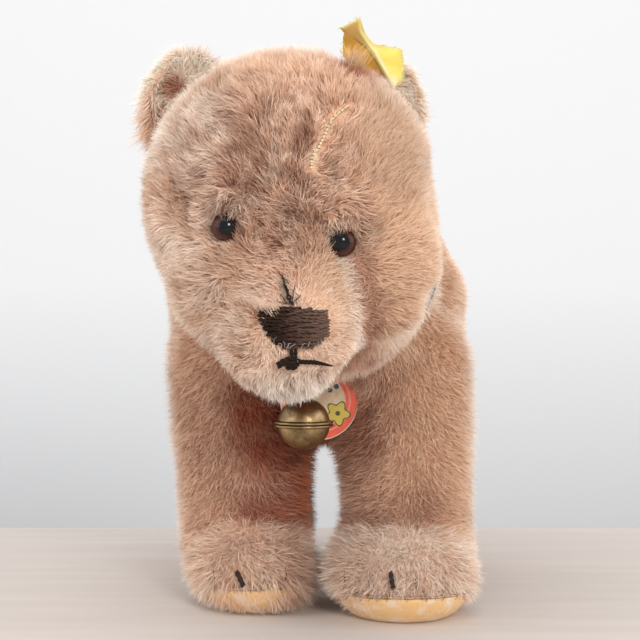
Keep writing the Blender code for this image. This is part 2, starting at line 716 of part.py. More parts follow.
def slot_mesh():
    """The bell's sounding slot: a narrow slit with a round hole at each end."""
    work = bmesh.new()
    placed = Matrix.Translation((0.0, 0.0, -BELL_DIAMETER / 2.0))
    size = placed @ Matrix.Diagonal((BELL_SLOT_LENGTH, BELL_SLOT_WIDTH, BELL_DIAMETER, 1.0))
    bmesh.ops.create_cube(work, size=1.0, matrix=size)
    slit = mesh_from(work, "bell_slit")
    holes = []
    for side in (-1.0, 1.0):
        work = bmesh.new()
        aside = Matrix.Translation((side * BELL_SLOT_LENGTH / 2.0, 0.0, 0.0))
        bmesh.ops.create_cone(work, cap_ends=True, segments=14, radius1=BELL_SLOT_HOLE / 2.0,
                              radius2=BELL_SLOT_HOLE / 2.0, depth=BELL_DIAMETER, matrix=placed @ aside)
        holes.append(mesh_from(work, "bell_hole"))
    return slit, holes


def under_neck(path, across):
    """The point of the cord's lower half that lies at this place across the bear."""
    middle = (path[0].z + path[len(path) // 2].z) / 2.0
    for start, end in zip(path, path[1:]):
        if start.z < middle and min(start.x, end.x) <= across <= max(start.x, end.x):
            return start.lerp(end, (across - start.x) / (end.x - start.x))
    raise ValueError("the cord does not pass under the neck there")


def make_bell(body, path):
    """Ring, eye, two shells and the pellet, hanging from the lowest stretch of the cord."""
    near = under_neck(path, BELL_ACROSS)
    wire = BELL_WIRE / 2.0
    ring_radius = RING_DIAMETER / 2.0
    ring_centre = CORD_DIAMETER / 2.0 + CLEARANCE + wire - ring_radius
    ring_low = ring_centre - ring_radius
    loop_radius = LOOP_WIDTH / 2.0
    loop_top = ring_low + BELL_WIRE + CLEARANCE
    loop_centre = loop_top - loop_radius
    bell_top = loop_centre - LOOP_LEG - CLEARANCE
    shell_drop = BELL_DIAMETER / 2.0 - math.sqrt((BELL_DIAMETER / 2.0) ** 2 - loop_radius ** 2)
    bell_centre = bell_top - BELL_DIAMETER / 2.0 + shell_drop

    ring_axis = bpy.data.objects.new("ring_swing_axis", None)
    PARTS.objects.link(ring_axis)
    ring_axis.parent = ORIGIN
    ring_axis.location = near
    turn = Matrix.Rotation(math.radians(90.0), 4, "Y")
    circle = arc((0.0, 0.0), ring_radius, 0.0, 340.0, 17)
    ring = [turn @ Vector((x, y, 0.0)) + Vector((0.0, 0.0, ring_centre)) for x, y in circle]
    add_part("bell_ring", tube("bell_ring", ring, wire, cyclic=True), "brass", parent=ring_axis)

    bell_axis = bpy.data.objects.new("bell_swing_axis", None)
    PARTS.objects.link(bell_axis)
    bell_axis.parent = ring_axis
    bell_axis.location = (0.0, 0.0, ring_low)
    loop = [(loop_radius, 0.0, loop_centre - LOOP_LEG - ring_low)]
    loop += [(x, 0.0, z) for x, z in arc((0.0, loop_centre - ring_low), loop_radius, 0.0, 180.0, 10)]
    loop += [(-loop_radius, 0.0, loop_centre - LOOP_LEG - ring_low)]
    add_part("bell_loop", tube("bell_loop", loop, wire), "brass", parent=bell_axis)

    centre = Matrix.Translation((0.0, 0.0, bell_centre - ring_low))
    flip = centre @ Matrix.Rotation(math.pi, 4, "X")
    add_part("bell_upper", turned("bell_upper", shell_profile()), "brass", centre, bell_axis)
    lower = add_part("bell_lower", turned("bell_lower", shell_profile()), "brass", flip, bell_axis)
    world = Matrix.Translation(near + Vector((0.0, 0.0, bell_centre)))
    slit, holes = slot_mesh()
    cut(lower, add_cutter("bell_slit", slit, world))
    for index, hole in enumerate(holes):
        cut(lower, add_cutter(f"bell_hole_{index}", hole, world))
    inner = BELL_DIAMETER / 2.0 - BELL_WALL
    work = bmesh.new()
    bmesh.ops.create_uvsphere(work, u_segments=12, v_segments=8, radius=PELLET_DIAMETER / 2.0)
    down = inner - PELLET_DIAMETER / 2.0 - CLEARANCE
    placed = centre @ Matrix.Translation((0.0, 0.0, -down))
    add_part("bell_pellet", mesh_from(work, "bell_pellet"), "steel", placed, bell_axis)

    work = bmesh.new()
    reach = ring_radius + wire + CLEARANCE - ring_centre / 2.0
    placed = Matrix.Translation(near) @ Matrix.Rotation(math.radians(90.0), 4, "Y")
    bmesh.ops.create_cone(work, cap_ends=True, segments=20, radius1=reach, radius2=reach,
                          depth=BELL_WIRE + 4.0 * CLEARANCE, matrix=placed)
    cut(body, add_cutter("ring_room", mesh_from(work, "ring_room")))
    return near + Vector((0.0, 0.0, bell_centre))


def make_chest_tag(body, body_tree, bell_centre):
    """A round card that hangs flat before the chest, on a loop of thread sewn into it."""
    centre = Vector((bell_centre.x + TAG_FROM_BELL[0], 0.0, bell_centre.z + TAG_FROM_BELL[1]))
    radius = TAG_DIAMETER / 2.0
    touch = []
    for x_share in (-0.5, 0.0, 0.5):
        for z_share in (-0.5, 0.0, 0.4):
            start = (centre.x + x_share * radius, bell_centre.y, centre.z + z_share * radius)
            touch.append(hit(body_tree, start, (0.0, 1.0, 0.0))[0].y)
    centre.y = min(touch) - TAG_THICKNESS / 2.0 - CLEARANCE
    work = bmesh.new()
    face_on = Matrix.Rotation(math.radians(90.0), 4, "X")
    bmesh.ops.create_cone(work, cap_ends=True, segments=36, radius1=radius, radius2=radius,
                          depth=TAG_THICKNESS, matrix=face_on)
    tag = add_part("chest_tag", mesh_from(work, "chest_tag"), "card", Matrix.Translation(centre))
    hole = bmesh.new()
    hole_at = Vector((0.0, 0.0, radius - TAG_HOLE_IN - TAG_HOLE / 2.0))
    bmesh.ops.create_cone(hole, cap_ends=True, segments=14, radius1=TAG_HOLE / 2.0, radius2=TAG_HOLE / 2.0,
                          depth=TAG_THICKNESS * 4.0, matrix=face_on)
    cut(tag, add_cutter("tag_hole", mesh_from(hole, "tag_hole"), Matrix.Translation(centre + hole_at)))

    loop_radius = TAG_LOOP_DIAMETER / 2.0
    loop_centre = centre + hole_at + Vector((0.0, 0.0, loop_radius))
    circle = arc((0.0, 0.0), loop_radius, 0.0, 337.5, 15)
    points = [loop_centre + Vector((0.0, x, y)) for x, y in circle]
    add_part("tag_thread", tube("tag_thread", points, TAG_THREAD / 2.0, cyclic=True, sides=1), "ribbon")
    room = tube("thread_room", points, TAG_THREAD / 2.0 + CLEARANCE, cyclic=True, sides=1)
    cut(body, add_cutter("thread_room", room))
    clear = bmesh.new()
    bmesh.ops.create_cone(clear, cap_ends=True, segments=36, radius1=radius + CLEARANCE,
                          radius2=radius + CLEARANCE, depth=TAG_THICKNESS + 2.0 * CLEARANCE, matrix=face_on)
    cut(body, add_cutter("tag_room", mesh_from(clear, "tag_room"), Matrix.Translation(centre)))


def along_fold(widths, share):
    """A leaf's width at a share of the fold's length, from its (share, width) corners."""
    for (start, wide), (end, following) in zip(widths, widths[1:]):
        if share <= end:
            return wide + (following - wide) * (share - start) / (end - start)
    return widths[-1][1]


def tag_section(share):
    """Across the folded cloth: margin, inner leaf, fold and outer leaf, as (aside, proud) points."""
    inner = along_fold(EAR_TAG_INNER_LEAF, share)
    outer = along_fold(EAR_TAG_OUTER_LEAF, share)
    curl = EAR_TAG_CURL * max(0.0, 1.0 - share / 0.3) ** 1.5
    sewn = min(EAR_TAG_MARGIN, inner * 0.4)
    return [
        (-inner, curl),
        (sewn - inner, curl),
        ((sewn - inner) * 0.5, EAR_TAG_FOLD_PROUD * 0.55 + curl),
        (-EAR_TAG_THICKNESS / 2.0, EAR_TAG_FOLD_PROUD + curl),
        (EAR_TAG_THICKNESS / 2.0, EAR_TAG_FOLD_PROUD + curl),
        (outer * 0.5, EAR_TAG_FOLD_PROUD * 0.7 + curl),
        (outer, EAR_TAG_FOLD_PROUD * 0.45 + curl),
    ]


def tag_cloth(frame, length):
    """The folded cloth: an open sheet through its sections, with its thickness."""
    steps = 12
    work = bmesh.new()
    rows = []
    for step in range(steps + 1):
        share = step / steps
        section = tag_section(share)
        along = (0.5 - share) * length
        rows.append([work.verts.new(frame @ Vector((aside, along, proud))) for aside, proud in section])
    for row, following in zip(rows, rows[1:]):
        for index in range(len(row) - 1):
            work.faces.new((row[index], row[index + 1], following[index + 1], following[index]))
    bmesh.ops.recalc_face_normals(work, faces=work.faces)
    sheet = add_cutter("ear_tag_sheet", mesh_from(work, "ear_tag_sheet"))
    solid = sheet.modifiers.new("cloth", "SOLIDIFY")
    solid.thickness = EAR_TAG_THICKNESS
    solid.offset = 0.0
    solid.use_even_offset = True
    return evaluated_mesh(sheet)


def ear_tag_frame(ear_tree, ear_middle):
    """Where the cloth lies: its fold as the front view shows it, its back resting on the ear."""
    top = Vector((ear_middle.x + EAR_TAG_FOLD_TOP[0], 0.0, ear_middle.z + EAR_TAG_FOLD_TOP[1]))
    foot = Vector((ear_middle.x + EAR_TAG_FOLD_FOOT[0], 0.0, ear_middle.z + EAR_TAG_FOLD_FOOT[1]))
    up = (top - foot).normalized()
    proud = Vector((0.0, -1.0, 0.0))
    aside = up.cross(proud)
    touch = []
    for step in range(13):
        share = step / 12.0
        for reach, height in tag_section(share):
            start = top.lerp(foot, share) + aside * reach
            start.y = -FAR
            point, _, _, _ = ear_tree.ray_cast(start, -proud)
            if point is not None:
                touch.append(point.y + height)
    place = (top + foot) / 2.0
    place.y = min(touch) - EAR_TAG_THICKNESS / 2.0 - CLEARANCE
    frame = Matrix.Translation(place) @ Matrix((aside, up, proud)).transposed().to_4x4()
    return frame, (top - foot).length


def make_ear_tag(head_mesh_data, head, ear, ear_frame):
    """The cloth tag: folded, let into the ear's seam, and tacked by its margin to the ear."""
    ear_shape = ear.data.copy()
    ear_shape.transform(ear_frame)
    frame, length = ear_tag_frame(tree_of(ear_shape), ear_frame.translation)
    tag = add_part("ear_tag", tag_cloth(frame, length), "ribbon")
    cut(tag, add_cutter("tag_seat", grown(head_mesh_data, CLEARANCE, "tag_seat")))

    half = EAR_TAG_STITCH / 2.0
    bar = EAR_TAG_THICKNESS / 2.0 + CLEARANCE + TAG_THREAD / 2.0
    along = (0.5 - EAR_TAG_STITCH_AT) * length
    aside = EAR_TAG_MARGIN / 2.0 - along_fold(EAR_TAG_INNER_LEAF, EAR_TAG_STITCH_AT)
    low = -EAR_TAG_THICKNESS - 2.0 * EAR_TAG_STITCH
    staple = [(aside, along + y, z) for y, z in ((-half, low), (-half, bar), (half, bar), (half, low))]
    staple = [frame @ Vector(point) for point in staple]
    add_part("ear_tag_stitch", tube("ear_tag_stitch", staple, TAG_THREAD / 2.0, sides=1), "seam")
    hole = add_cutter("stitch_room", tube("stitch_room", staple, TAG_THREAD / 2.0 + CLEARANCE, sides=1))
    for piece in (tag, ear, head):
        cut(piece, hole)


def centre_on_floor():
    """Move the whole bear so that the middle of its box lies over the origin, feet at zero."""
    bpy.context.view_layer.update()
    depsgraph = bpy.context.evaluated_depsgraph_get()
    corners = []
    for part in PARTS.objects:
        if part.type == "MESH":
            shown = part.evaluated_get(depsgraph)
            corners += [shown.matrix_world @ vertex.co for vertex in shown.data.vertices]
    low = [min(corner[axis] for corner in corners) for axis in range(3)]
    high = [max(corner[axis] for corner in corners) for axis in range(3)]
    ORIGIN.location = (-(low[0] + high[0]) / 2.0, -(low[1] + high[1]) / 2.0, -low[2])
    bpy.context.view_layer.update()


def main():
    head_data = head_mesh()
    body_data = body_mesh()
    head_tree = tree_of(head_data)
    body_tree = tree_of(body_data)

    head = add_part("head", head_data, "mohair")
    body = add_part("body", body_data, "mohair")
    cut(body, add_cutter("floor", below_floor()))
    cut(body, add_cutter("head_seat", grown(head_data, CLEARANCE, "head_seat")))

    left_ear, _ = make_ears(head_data, head_tree)
    make_eyes(head, head_tree)
    make_nose(head_data, head_tree)
    make_seam(head, head_tree)
    make_feet(body, body_tree)
    path = cord_path(body_tree)
    make_cord(body, path)
    bell_centre = make_bell(body, path)
    make_chest_tag(body, body_tree, bell_centre)
    make_ear_tag(head_data, head, left_ear, ear_matrix(EARS[0], head_tree))
    for part, cutter in CUTS:
        combine(part, cutter, "DIFFERENCE")
    centre_on_floor()


clear_scene()
PARTS = new_collection(OBJECT_NAME)
CUTTERS = new_collection(OBJECT_NAME + "_cutters")
ORIGIN = bpy.data.objects.new("bear_origin", None)
PARTS.objects.link(ORIGIN)
CUTS = []
main()
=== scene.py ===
"""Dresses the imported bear: plush with its pile, face, soles, cord, bell, tags and the stage.

The file is laid out as an add-on and is run as a script. Every length is in metres, in the
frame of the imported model: +Z is up, the nose points to -Y and +X is the bear's left side.
"""

import math
from types import SimpleNamespace

import bmesh
import bpy
import numpy as np
from bpy.props import FloatProperty, FloatVectorProperty, PointerProperty
from mathutils import Matrix, Vector
from mathutils.bvhtree import BVHTree
from mathutils.noise import noise as waver


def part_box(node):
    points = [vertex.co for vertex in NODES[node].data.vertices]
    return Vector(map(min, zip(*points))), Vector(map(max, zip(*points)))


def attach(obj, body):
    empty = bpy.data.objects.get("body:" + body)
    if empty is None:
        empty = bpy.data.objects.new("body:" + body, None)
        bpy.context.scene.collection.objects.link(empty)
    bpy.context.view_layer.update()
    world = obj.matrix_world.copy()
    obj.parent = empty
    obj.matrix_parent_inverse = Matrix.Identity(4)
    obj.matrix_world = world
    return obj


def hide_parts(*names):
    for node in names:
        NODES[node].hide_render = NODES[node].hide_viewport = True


bl_info = {
    "name": "Mohair bear",
    "version": (1, 0, 0),
    "blender": (4, 5, 0),
    "location": "3D View > Sidebar > Bear",
    "description": "Pile, face, soles, cord, bell and tags of a worn mohair bear",
    "category": "Object",
}

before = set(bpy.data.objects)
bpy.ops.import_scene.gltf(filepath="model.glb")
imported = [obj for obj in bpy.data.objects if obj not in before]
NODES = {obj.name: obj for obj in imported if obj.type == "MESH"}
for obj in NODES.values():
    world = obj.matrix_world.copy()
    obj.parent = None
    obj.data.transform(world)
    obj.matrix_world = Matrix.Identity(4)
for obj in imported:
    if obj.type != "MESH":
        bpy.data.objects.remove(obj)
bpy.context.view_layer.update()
PANEL_TAB = "Bear"
THREAD_TREE = "Lay thread"
SIDES = ("left", "right")
TURN = 2.0 * math.pi
# Stands for a distance that nothing is within
FAR = 9.0


def corners_of(node):
    """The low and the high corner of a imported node's box."""
    return [np.array(corner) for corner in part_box(node)]


# Places that the solids give
EYES = {side: np.mean(corners_of("eye_" + side), axis=0) for side in SIDES}
NOSE, MOUTH, CARD_CENTRE = (np.mean(corners_of(node), axis=0) for node in ("nose", "mouth", "chest_tag"))
BELL_HEIGHT = (corners_of("bell_upper")[0][2] + corners_of("bell_lower")[1][2]) / 2.0
BELL_CENTRE = np.array([-0.00251, -0.022781, BELL_HEIGHT])
SKULL = np.array([-0.0051, -0.0580, 0.1130])
# Across, along and half width of each foot
FEET = {
    "front_left": (0.0247, -0.0155, 0.0225),
    "front_right": (-0.0177, -0.0040, 0.0190),
    "hind_left": (0.0285, 0.0660, 0.0200),
    "hind_right": (-0.0193, 0.0660, 0.0200),
}

# The mohair: root, middle and tip colour of each region
REGION_COLOURS = (
    ("wear", (0.60, 0.330, 0.200), (0.82, 0.540, 0.350), (0.90, 0.690, 0.520)),
    # Pale mohair, also used for painted light and painted rim light
    ("pale", (0.84, 0.640, 0.500), (0.95, 0.800, 0.670), (0.99, 0.940, 0.870)),
    # Reddish mohair, also used for painted shade
    ("ruddy_and_shade", (0.250, 0.075, 0.038), (0.480, 0.200, 0.110), (0.720, 0.440, 0.300)),
    # Painted shade: the breast under the head, the inner legs and under the ear tag
    ("deep_shade", (0.270, 0.045, 0.018), (0.500, 0.120, 0.048), (0.640, 0.240, 0.120)),
    # Painted light, which lightens the ears
    ("painted_light", (1.000, 0.800, 0.620), (1.000, 0.890, 0.750), (1.000, 0.965, 0.890)),
)
# Colour of the painted shade, shared by the dark spots and hairs of the head
SHADE_COLOUR = (0.055, 0.026, 0.016, 1.0)
# Hairs to the square metre, pieces along a hair, and seed
HAIRS = {
    "head_pile": (8.6e6, 1, 11), "head_locks_left": (4.4e6, 2, 12), "head_locks_right": (4.4e6, 2, 13),
    "front_pile": (5.4e6, 1, 21), "front_locks_left": (1.7e6, 2, 22), "front_locks_right": (1.7e6, 2, 23),
    "back_pile": (3.5e6, 1, 24), "ear_left_pile": (11.0e6, 2, 31), "ear_right_pile": (11.0e6, 2, 32),
}
# Length of the short hair between the locks, and width of a hair at the back, as shares of the others
UNDERFUR, BACK_HAIR = 0.94, 1.6
# Half the width of the strip where left and right locks meet
SPLIT = 0.0003
FLOOR_GAP = 0.0004
# Voxel size and rounds of smoothing of each remeshed skin
SKINS = {"head": (0.0017, 8), "body": (0.0022, 8), "ear": (0.0010, 6), "nose": (0.0005, 10),
         "sole": (0.0012, 6)}

# Ovals of the front view: how much, then across, height, half width and half height
HEAD_BARE = ((1.0, 0.022, 0.128, 0.020, 0.026), (1.0, 0.024, 0.098, 0.016, 0.024),
             (1.0, 0.0045, 0.090, 0.010, 0.016))
HEAD_WORN = ((0.24, 0.036, 0.118, 0.014, 0.014), (0.36, 0.036, 0.0875, 0.014, 0.0065))
HEAD_RUDDY = ((1.0, -0.012, 0.122, 0.026, 0.020), (1.0, -0.006, 0.105, 0.015, 0.012))
# Pale, with painted light, on the head's left
HEAD_PALE = ((0.80, -0.030, 0.128, 0.018, 0.022), (0.55, -0.030, 0.100, 0.014, 0.026))
# Painted shade on the muzzle's left, the forehead's right, the head's upper left and under the ear tag
HEAD_SHADE = ((0.12, -0.020, 0.084, 0.014, 0.020), (0.14, 0.023, 0.130, 0.018, 0.024),
              (0.07, -0.024, 0.124, 0.020, 0.026), (0.30, 0.0120, 0.1424, 0.0080, 0.0036))

# Ovals without an amount
HEAD_TUFTED = (-0.010, 0.116, 0.030, 0.026)
HEAD_SPOTTED = (-0.008, 0.116, 0.026, 0.022)
HEAD_MOTTLED = (-0.010, 0.120, 0.032, 0.032)
# Painted shade on the forehead's right
HEAD_RIGHT_SHADE = (0.020, 0.128, 0.022, 0.022)
# Painted shadow of the ear tag on the crown: wide, reddish and dark
TAG_SHADOW_WIDE = (0.0125, 0.145, 0.010, 0.007)
TAG_SHADOW_RED = (0.0120, 0.1432, 0.0085, 0.0042)
TAG_SHADOW_DARK = (0.0120, 0.1424, 0.0090, 0.0040)
# Painted shade on the breast under the head
BREAST_SHADE = (-0.010, 0.056, 0.018, 0.026)
BREAST_RUDDY = (0.014, 0.060, 0.014, 0.028)
EAR_WORN = (-0.0405, 0.1490, 0.0070, 0.0060)
# Hollows of the ears, where shade is painted
EAR_CUPS = {"left": ((1.0, 0.0110, 0.1440, 0.0070, 0.0070),),
            "right": ((1.0, -0.0359, 0.1417, 0.0038, 0.0040), (1.0, -0.0393, 0.1358, 0.0036, 0.0042))}

# The stretch of cord that shows and how far it hangs out, and the room that the bell swings in
CORD_SHOWS = np.array([0.0332, -0.0215, 0.0885])
CORD_SLACK = np.array([0.0013, -0.0008, 0.0])
BELL_ROOM = (((-0.0045, -0.0270, 0.0690), 0.0120), ((0.0060, -0.0185, 0.0680), 0.0100))

# The face, as (across, height) spots of the front view
EYE_FACING = {"left": (-0.16, -0.98, 0.04), "right": (0.22, -0.97, 0.02)}
EYE_RADIUS = 0.0036
SEAM_PLACES = (
    (-0.0003, 0.1184), (0.0002, 0.1208), (0.0016, 0.1236), (0.0029, 0.1262),
    (0.0041, 0.1290), (0.0064, 0.1316), (0.0090, 0.1338),
)
NOSE_SLANT = 0.10
NOSE_ROW = 0.00068
NOSE_STEP = 0.0006
# Where the nose's rows end at the right of the front view: height and across
NOSE_RIGHT = ((0.0759, -0.0015), (0.0768, 0.0003), (0.0775, 0.0020), (0.0789, 0.0034),
              (0.0830, 0.0037), (0.0850, 0.0037))
NOSE_WISPS = (
    ((-0.0064, 0.0914), (-0.0056, 0.0892), (-0.0052, 0.0866)),
    ((-0.0059, 0.0906), (-0.0052, 0.0882), (-0.0047, 0.0864)),
)
NOSE_HAIRS = (
    ((-0.0076, 0.0944), (-0.0066, 0.0920), (-0.0060, 0.0896)),
    ((-0.0068, 0.0936), (-0.0062, 0.0910), (-0.0056, 0.0890)),
    ((-0.0040, 0.0908), (-0.0045, 0.0888), (-0.0046, 0.0870)),
    ((-0.0028, 0.0886), (-0.0036, 0.0876), (-0.0044, 0.0870)),
    ((-0.0072, 0.0888), (-0.0064, 0.0876), (-0.0056, 0.0867)),
    ((-0.0080, 0.0872), (-0.0068, 0.0867), (-0.0056, 0.0866)),
)
NOSE_WISP_LINE = ((-0.0066, 0.0922), (-0.0056, 0.0896), (-0.0049, 0.0868))
NOSE_HEM = (
    (-0.0108, 0.0818), (-0.0100, 0.0801), (-0.0090, 0.0791), (-0.0080, 0.0785), (-0.0065, 0.0780),
    (-0.0050, 0.0777), (-0.0030, 0.0776), (0.0000, 0.0780), (0.0022, 0.0791),
)
# Range across over which a painted highlight makes the nose's thread paler
NOSE_LIT = (0.0010, 0.0125)
NOSE_CORNER = np.array([-0.0122, -0.0960, 0.0866])
CORNER_HAIRS = 120
MOUTH_STITCHES = (
    ((-0.0047, 0.0770), (-0.0046, 0.0741)), ((-0.0038, 0.0770), (-0.0038, 0.0741)),
    ((-0.0038, 0.0747), (-0.0060, 0.0744), (-0.0080, 0.0733)),
    ((-0.0036, 0.0739), (-0.0060, 0.0735), (-0.0078, 0.0727)),
    ((-0.0072, 0.0738), (-0.0052, 0.0731), (-0.0032, 0.0733)),
    ((-0.0060, 0.0726), (-0.0046, 0.0724), (-0.0036, 0.0727)),
)
MOUTH_TAIL = (
    ((-0.0034, 0.0744), (0.0004, 0.0740), (0.0042, 0.0728)),
    ((-0.0032, 0.0737), (-0.0004, 0.0735), (0.0022, 0.0731)),
    ((-0.0034, 0.0741), (0.0000, 0.0737), (0.0034, 0.0729)),
)
MUZZLE_EDGE = ((0.0104, 0.0968), (0.0132, 0.0877), (0.0134, 0.0770), (0.0104, 0.0682))
# Line of the painted rim light beside the muzzle's edge
MUZZLE_RIM_LIGHT = [(across - 0.0034, height) for across, height in MUZZLE_EDGE]

# Each claw's step forwards, slant, step upwards and share of the solid's length
MAIN_CLAWS = ("claw_front_right_2", "claw_front_left_3")
CLAW_SET = {
    "claw_front_right_2": (0.0013, 0.0012, -0.0018, 0.75),
    "claw_front_left_3": (0.0011, 0.0006, 0.0, 0.80),
    "claw_front_right_1": (-0.0007, 0.0, -0.0024, 0.55),
    "claw_front_right_4": (-0.0006, 0.0, -0.0010, 0.60),
}
PLAIN_CLAW = (-0.0014, 0.0, -0.0012, 0.8)

# The bell and the card
SHELL_OUTER, SHELL_INNER = 0.00715, 0.00660
BELL_FLANGE = [(0.00735, 0.00085), (0.00790, 0.00078), (0.00812, 0.00062), (0.00815, 0.00040),
               (0.00812, 0.00022), (0.00795, 0.00015)]
BELL_SLOT = (0.0080, 0.0013, 0.0110)
BELL_HOLES = (-0.0040, 0.0040)
SHARP = math.radians(40.0)
CARD_FLOWER = (0.0052, -0.0034)
CARD_BERRIES = ((0.0030, 0.0032), (0.0048, 0.0042))

# The cloth tag: where its fold lies in the front view, and its own middle and axes
EAR_TAG_FOLD = ((0.0135, 0.1560), (0.0212, 0.1424))
EAR_TAG_LAP = ((0.0092, 0.1458), (0.0128, 0.1455))
EAR_TAG_ROOM = (0.0118, 0.1485, 0.0095, 0.0060)
EAR_TAG_PLACE = np.array([0.016160, -0.048490, 0.149910])
EAR_TAG_ASIDE = np.array([0.875070, 0.0, 0.483980])
EAR_TAG_UP = np.array([-0.483980, 0.0, 0.875070])
EAR_TAG_LENGTH = 0.0189
EAR_TAG_PROUD = 0.0046
EAR_TAG_CURL = 0.0036
# Share along the fold, and how far to the side each edge lies there
EAR_TAG_INNER = ((0.0, 0.0032), (0.06, 0.0048), (0.27, 0.0071), (0.59, 0.0042), (0.78, 0.0018), (1.0, 0.0007))
EAR_TAG_STRIP = ((0.0, 0.0046), (0.14, 0.0031), (0.34, 0.0015), (0.55, 0.0008), (1.0, 0.0005))
EAR_TAG_EDGE = ((0.0, 0.0002), (0.13, -0.0010), (0.34, -0.0003), (0.48, 0.0003), (1.0, 0.0003))
EAR_TAG_OUTER = ((0.0, 0.0006), (0.16, 0.0002), (0.36, 0.0010), (0.59, 0.0063), (0.95, 0.0030), (1.0, 0.0010))
LAP_ACROSS, LAP_HEIGHT, LAP_HAIRS = (0.0086, 0.0146), (0.1436, 0.1457), 170

# The stage
CAMERA_PLACE = (0.0019, -0.495, 0.092)
CAMERA_DOWN = 1.26
SENSOR_WIDTH = 36.0
LAMPS_AIM = Vector((0.0, 0.0, 0.08))
STAGE_REACH = 1.6
FLOOR_EDGE = 0.150
WALL_PLACE = 0.75
BELOW_FLOOR = -0.5
SKY_COLOUR, SKY_STRENGTH = (0.93, 0.96, 1.0, 1.0), 0.76


class BearPlush(bpy.types.PropertyGroup):
    """Sizes and colours of the mohair."""

    length: FloatProperty(
        name="Pile length", description="Length of a hair where the pile is whole",
        default=0.0044, min=0.001, unit="LENGTH")
    width: FloatProperty(
        name="Hair width", description="Width of a hair at its root",
        default=0.00018, min=0.00005, precision=5, unit="LENGTH")
    sink: FloatProperty(
        name="Backing depth", description="How far the backing lies under the middle of the pile",
        default=0.0010, min=0.0, unit="LENGTH")
    lock: FloatProperty(
        name="Lock size", description="Distance between the locks that the hair gathers in",
        default=0.0022, min=0.0005, unit="LENGTH")
    root: FloatVectorProperty(
        name="Root colour", description="Colour of a hair at its root", subtype="COLOR",
        size=4, min=0.0, max=1.0, default=(0.540, 0.250, 0.145, 1.0))
    middle: FloatVectorProperty(
        name="Middle colour", description="Colour half way along a hair", subtype="COLOR",
        size=4, min=0.0, max=1.0, default=(0.830, 0.530, 0.355, 1.0))
    tip: FloatVectorProperty(
        name="Tip colour", description="Colour of a hair at its tip", subtype="COLOR",
        size=4, min=0.0, max=1.0, default=(0.920, 0.700, 0.530, 1.0))


class BearTrim(bpy.types.PropertyGroup):
    """Sizes and colours of thread, felt, cord, metal and tags."""

    thread: FloatVectorProperty(
        name="Thread colour", description="Nose, mouth and claws", subtype="COLOR",
        size=4, min=0.0, max=1.0, default=(0.034, 0.0150, 0.0090, 1.0))
    felt: FloatVectorProperty(
        name="Felt colour", description="Soles of the feet", subtype="COLOR",
        size=4, min=0.0, max=1.0, default=(1.000, 0.620, 0.260, 1.0))
    cord: FloatVectorProperty(
        name="Cord colour", description="Cord round the neck", subtype="COLOR",
        size=4, min=0.0, max=1.0, default=(0.135, 0.165, 0.172, 1.0))
    brass: FloatVectorProperty(
        name="Brass colour", description="Bell, ring and eye", subtype="COLOR",
        size=4, min=0.0, max=1.0, default=(0.500, 0.345, 0.170, 1.0))
    ribbon: FloatVectorProperty(
        name="Ear tag colour", description="Cloth of the tag at the ear", subtype="COLOR",
        size=4, min=0.0, max=1.0, default=(0.940, 0.750, 0.150, 1.0))
    card: FloatVectorProperty(
        name="Card ring colour", description="Ring printed on the chest tag", subtype="COLOR",
        size=4, min=0.0, max=1.0, default=(0.980, 0.150, 0.085, 1.0))


class BearStage(bpy.types.PropertyGroup):
    """Floor, backdrop, lamps and camera."""

    floor: FloatVectorProperty(
        name="Floor colour", description="Surface that the bear stands on", subtype="COLOR",
        size=4, min=0.0, max=1.0, default=(0.640, 0.570, 0.520, 1.0))
    wall: FloatVectorProperty(
        name="Backdrop colour", description="Wall behind the bear", subtype="COLOR",
        size=4, min=0.0, max=1.0, default=(0.950, 0.955, 0.960, 1.0))
    lamp_power: FloatProperty(
        name="Lamp power", description="Power of the soft lamp above the bear",
        default=2.2, min=0.0)
    lens: FloatProperty(
        name="Lens", description="Focal length for a sensor 36 mm wide, in millimetres",
        default=97.2, min=10.0)


def smoothstep(low, high, value):
    """0 below low, 1 above high, smooth between them."""
    share = np.clip((value - low) / (high - low), 0.0, 1.0)
    return share * share * (3.0 - 2.0 * share)


def near(points, centre, reach, soft=0.5):
    """1 at a place, 0 past its reach."""
    distance = np.linalg.norm(points - np.asarray(centre), axis=1)
    return 1.0 - smoothstep(reach * soft, reach, distance)


def wavering(points, size, seed):
    """Smooth noise from -1 to 1 over a set of places."""
    shift = Vector((seed * 3.7, seed * 1.9, seed * 2.3))
    return np.array([waver(Vector(place) / size + shift) for place in points])


def tangent(vectors, normals):
    """The part of each vector that lies along the surface, one unit long."""
    flat = vectors - normals * np.sum(vectors * normals, axis=1)[:, None]
    length = np.linalg.norm(flat, axis=1)
    return flat / np.maximum(length, 1e-9)[:, None]


def link(name, mesh):
    """A new object of a mesh, at the origin."""
    made = bpy.data.objects.new(name, mesh)
    bpy.context.scene.collection.objects.link(made)
    return made


def evaluated(item):
    """The mesh that an object's modifiers give."""
    bpy.context.view_layer.update()
    return bpy.data.meshes.new_from_object(item.evaluated_get(bpy.context.evaluated_depsgraph_get()))

def coordinates(mesh):
    flat = np.empty(len(mesh.vertices) * 3)
    mesh.vertices.foreach_get("co", flat)
    return flat.reshape(-1, 3)


def vertex_normals(mesh):
    flat = np.empty(len(mesh.vertices) * 3)
    mesh.vertex_normals.foreach_get("vector", flat)
    return flat.reshape(-1, 3)


def store(mesh, name, values):
    """Keep one number or vector for each vertex."""
    kind = "FLOAT_VECTOR" if np.ndim(values) == 2 else "FLOAT"
    field = "vector" if np.ndim(values) == 2 else "value"
    mesh.attributes.new(name, kind, "POINT").data.foreach_set(field, np.asarray(values, dtype=float).ravel())


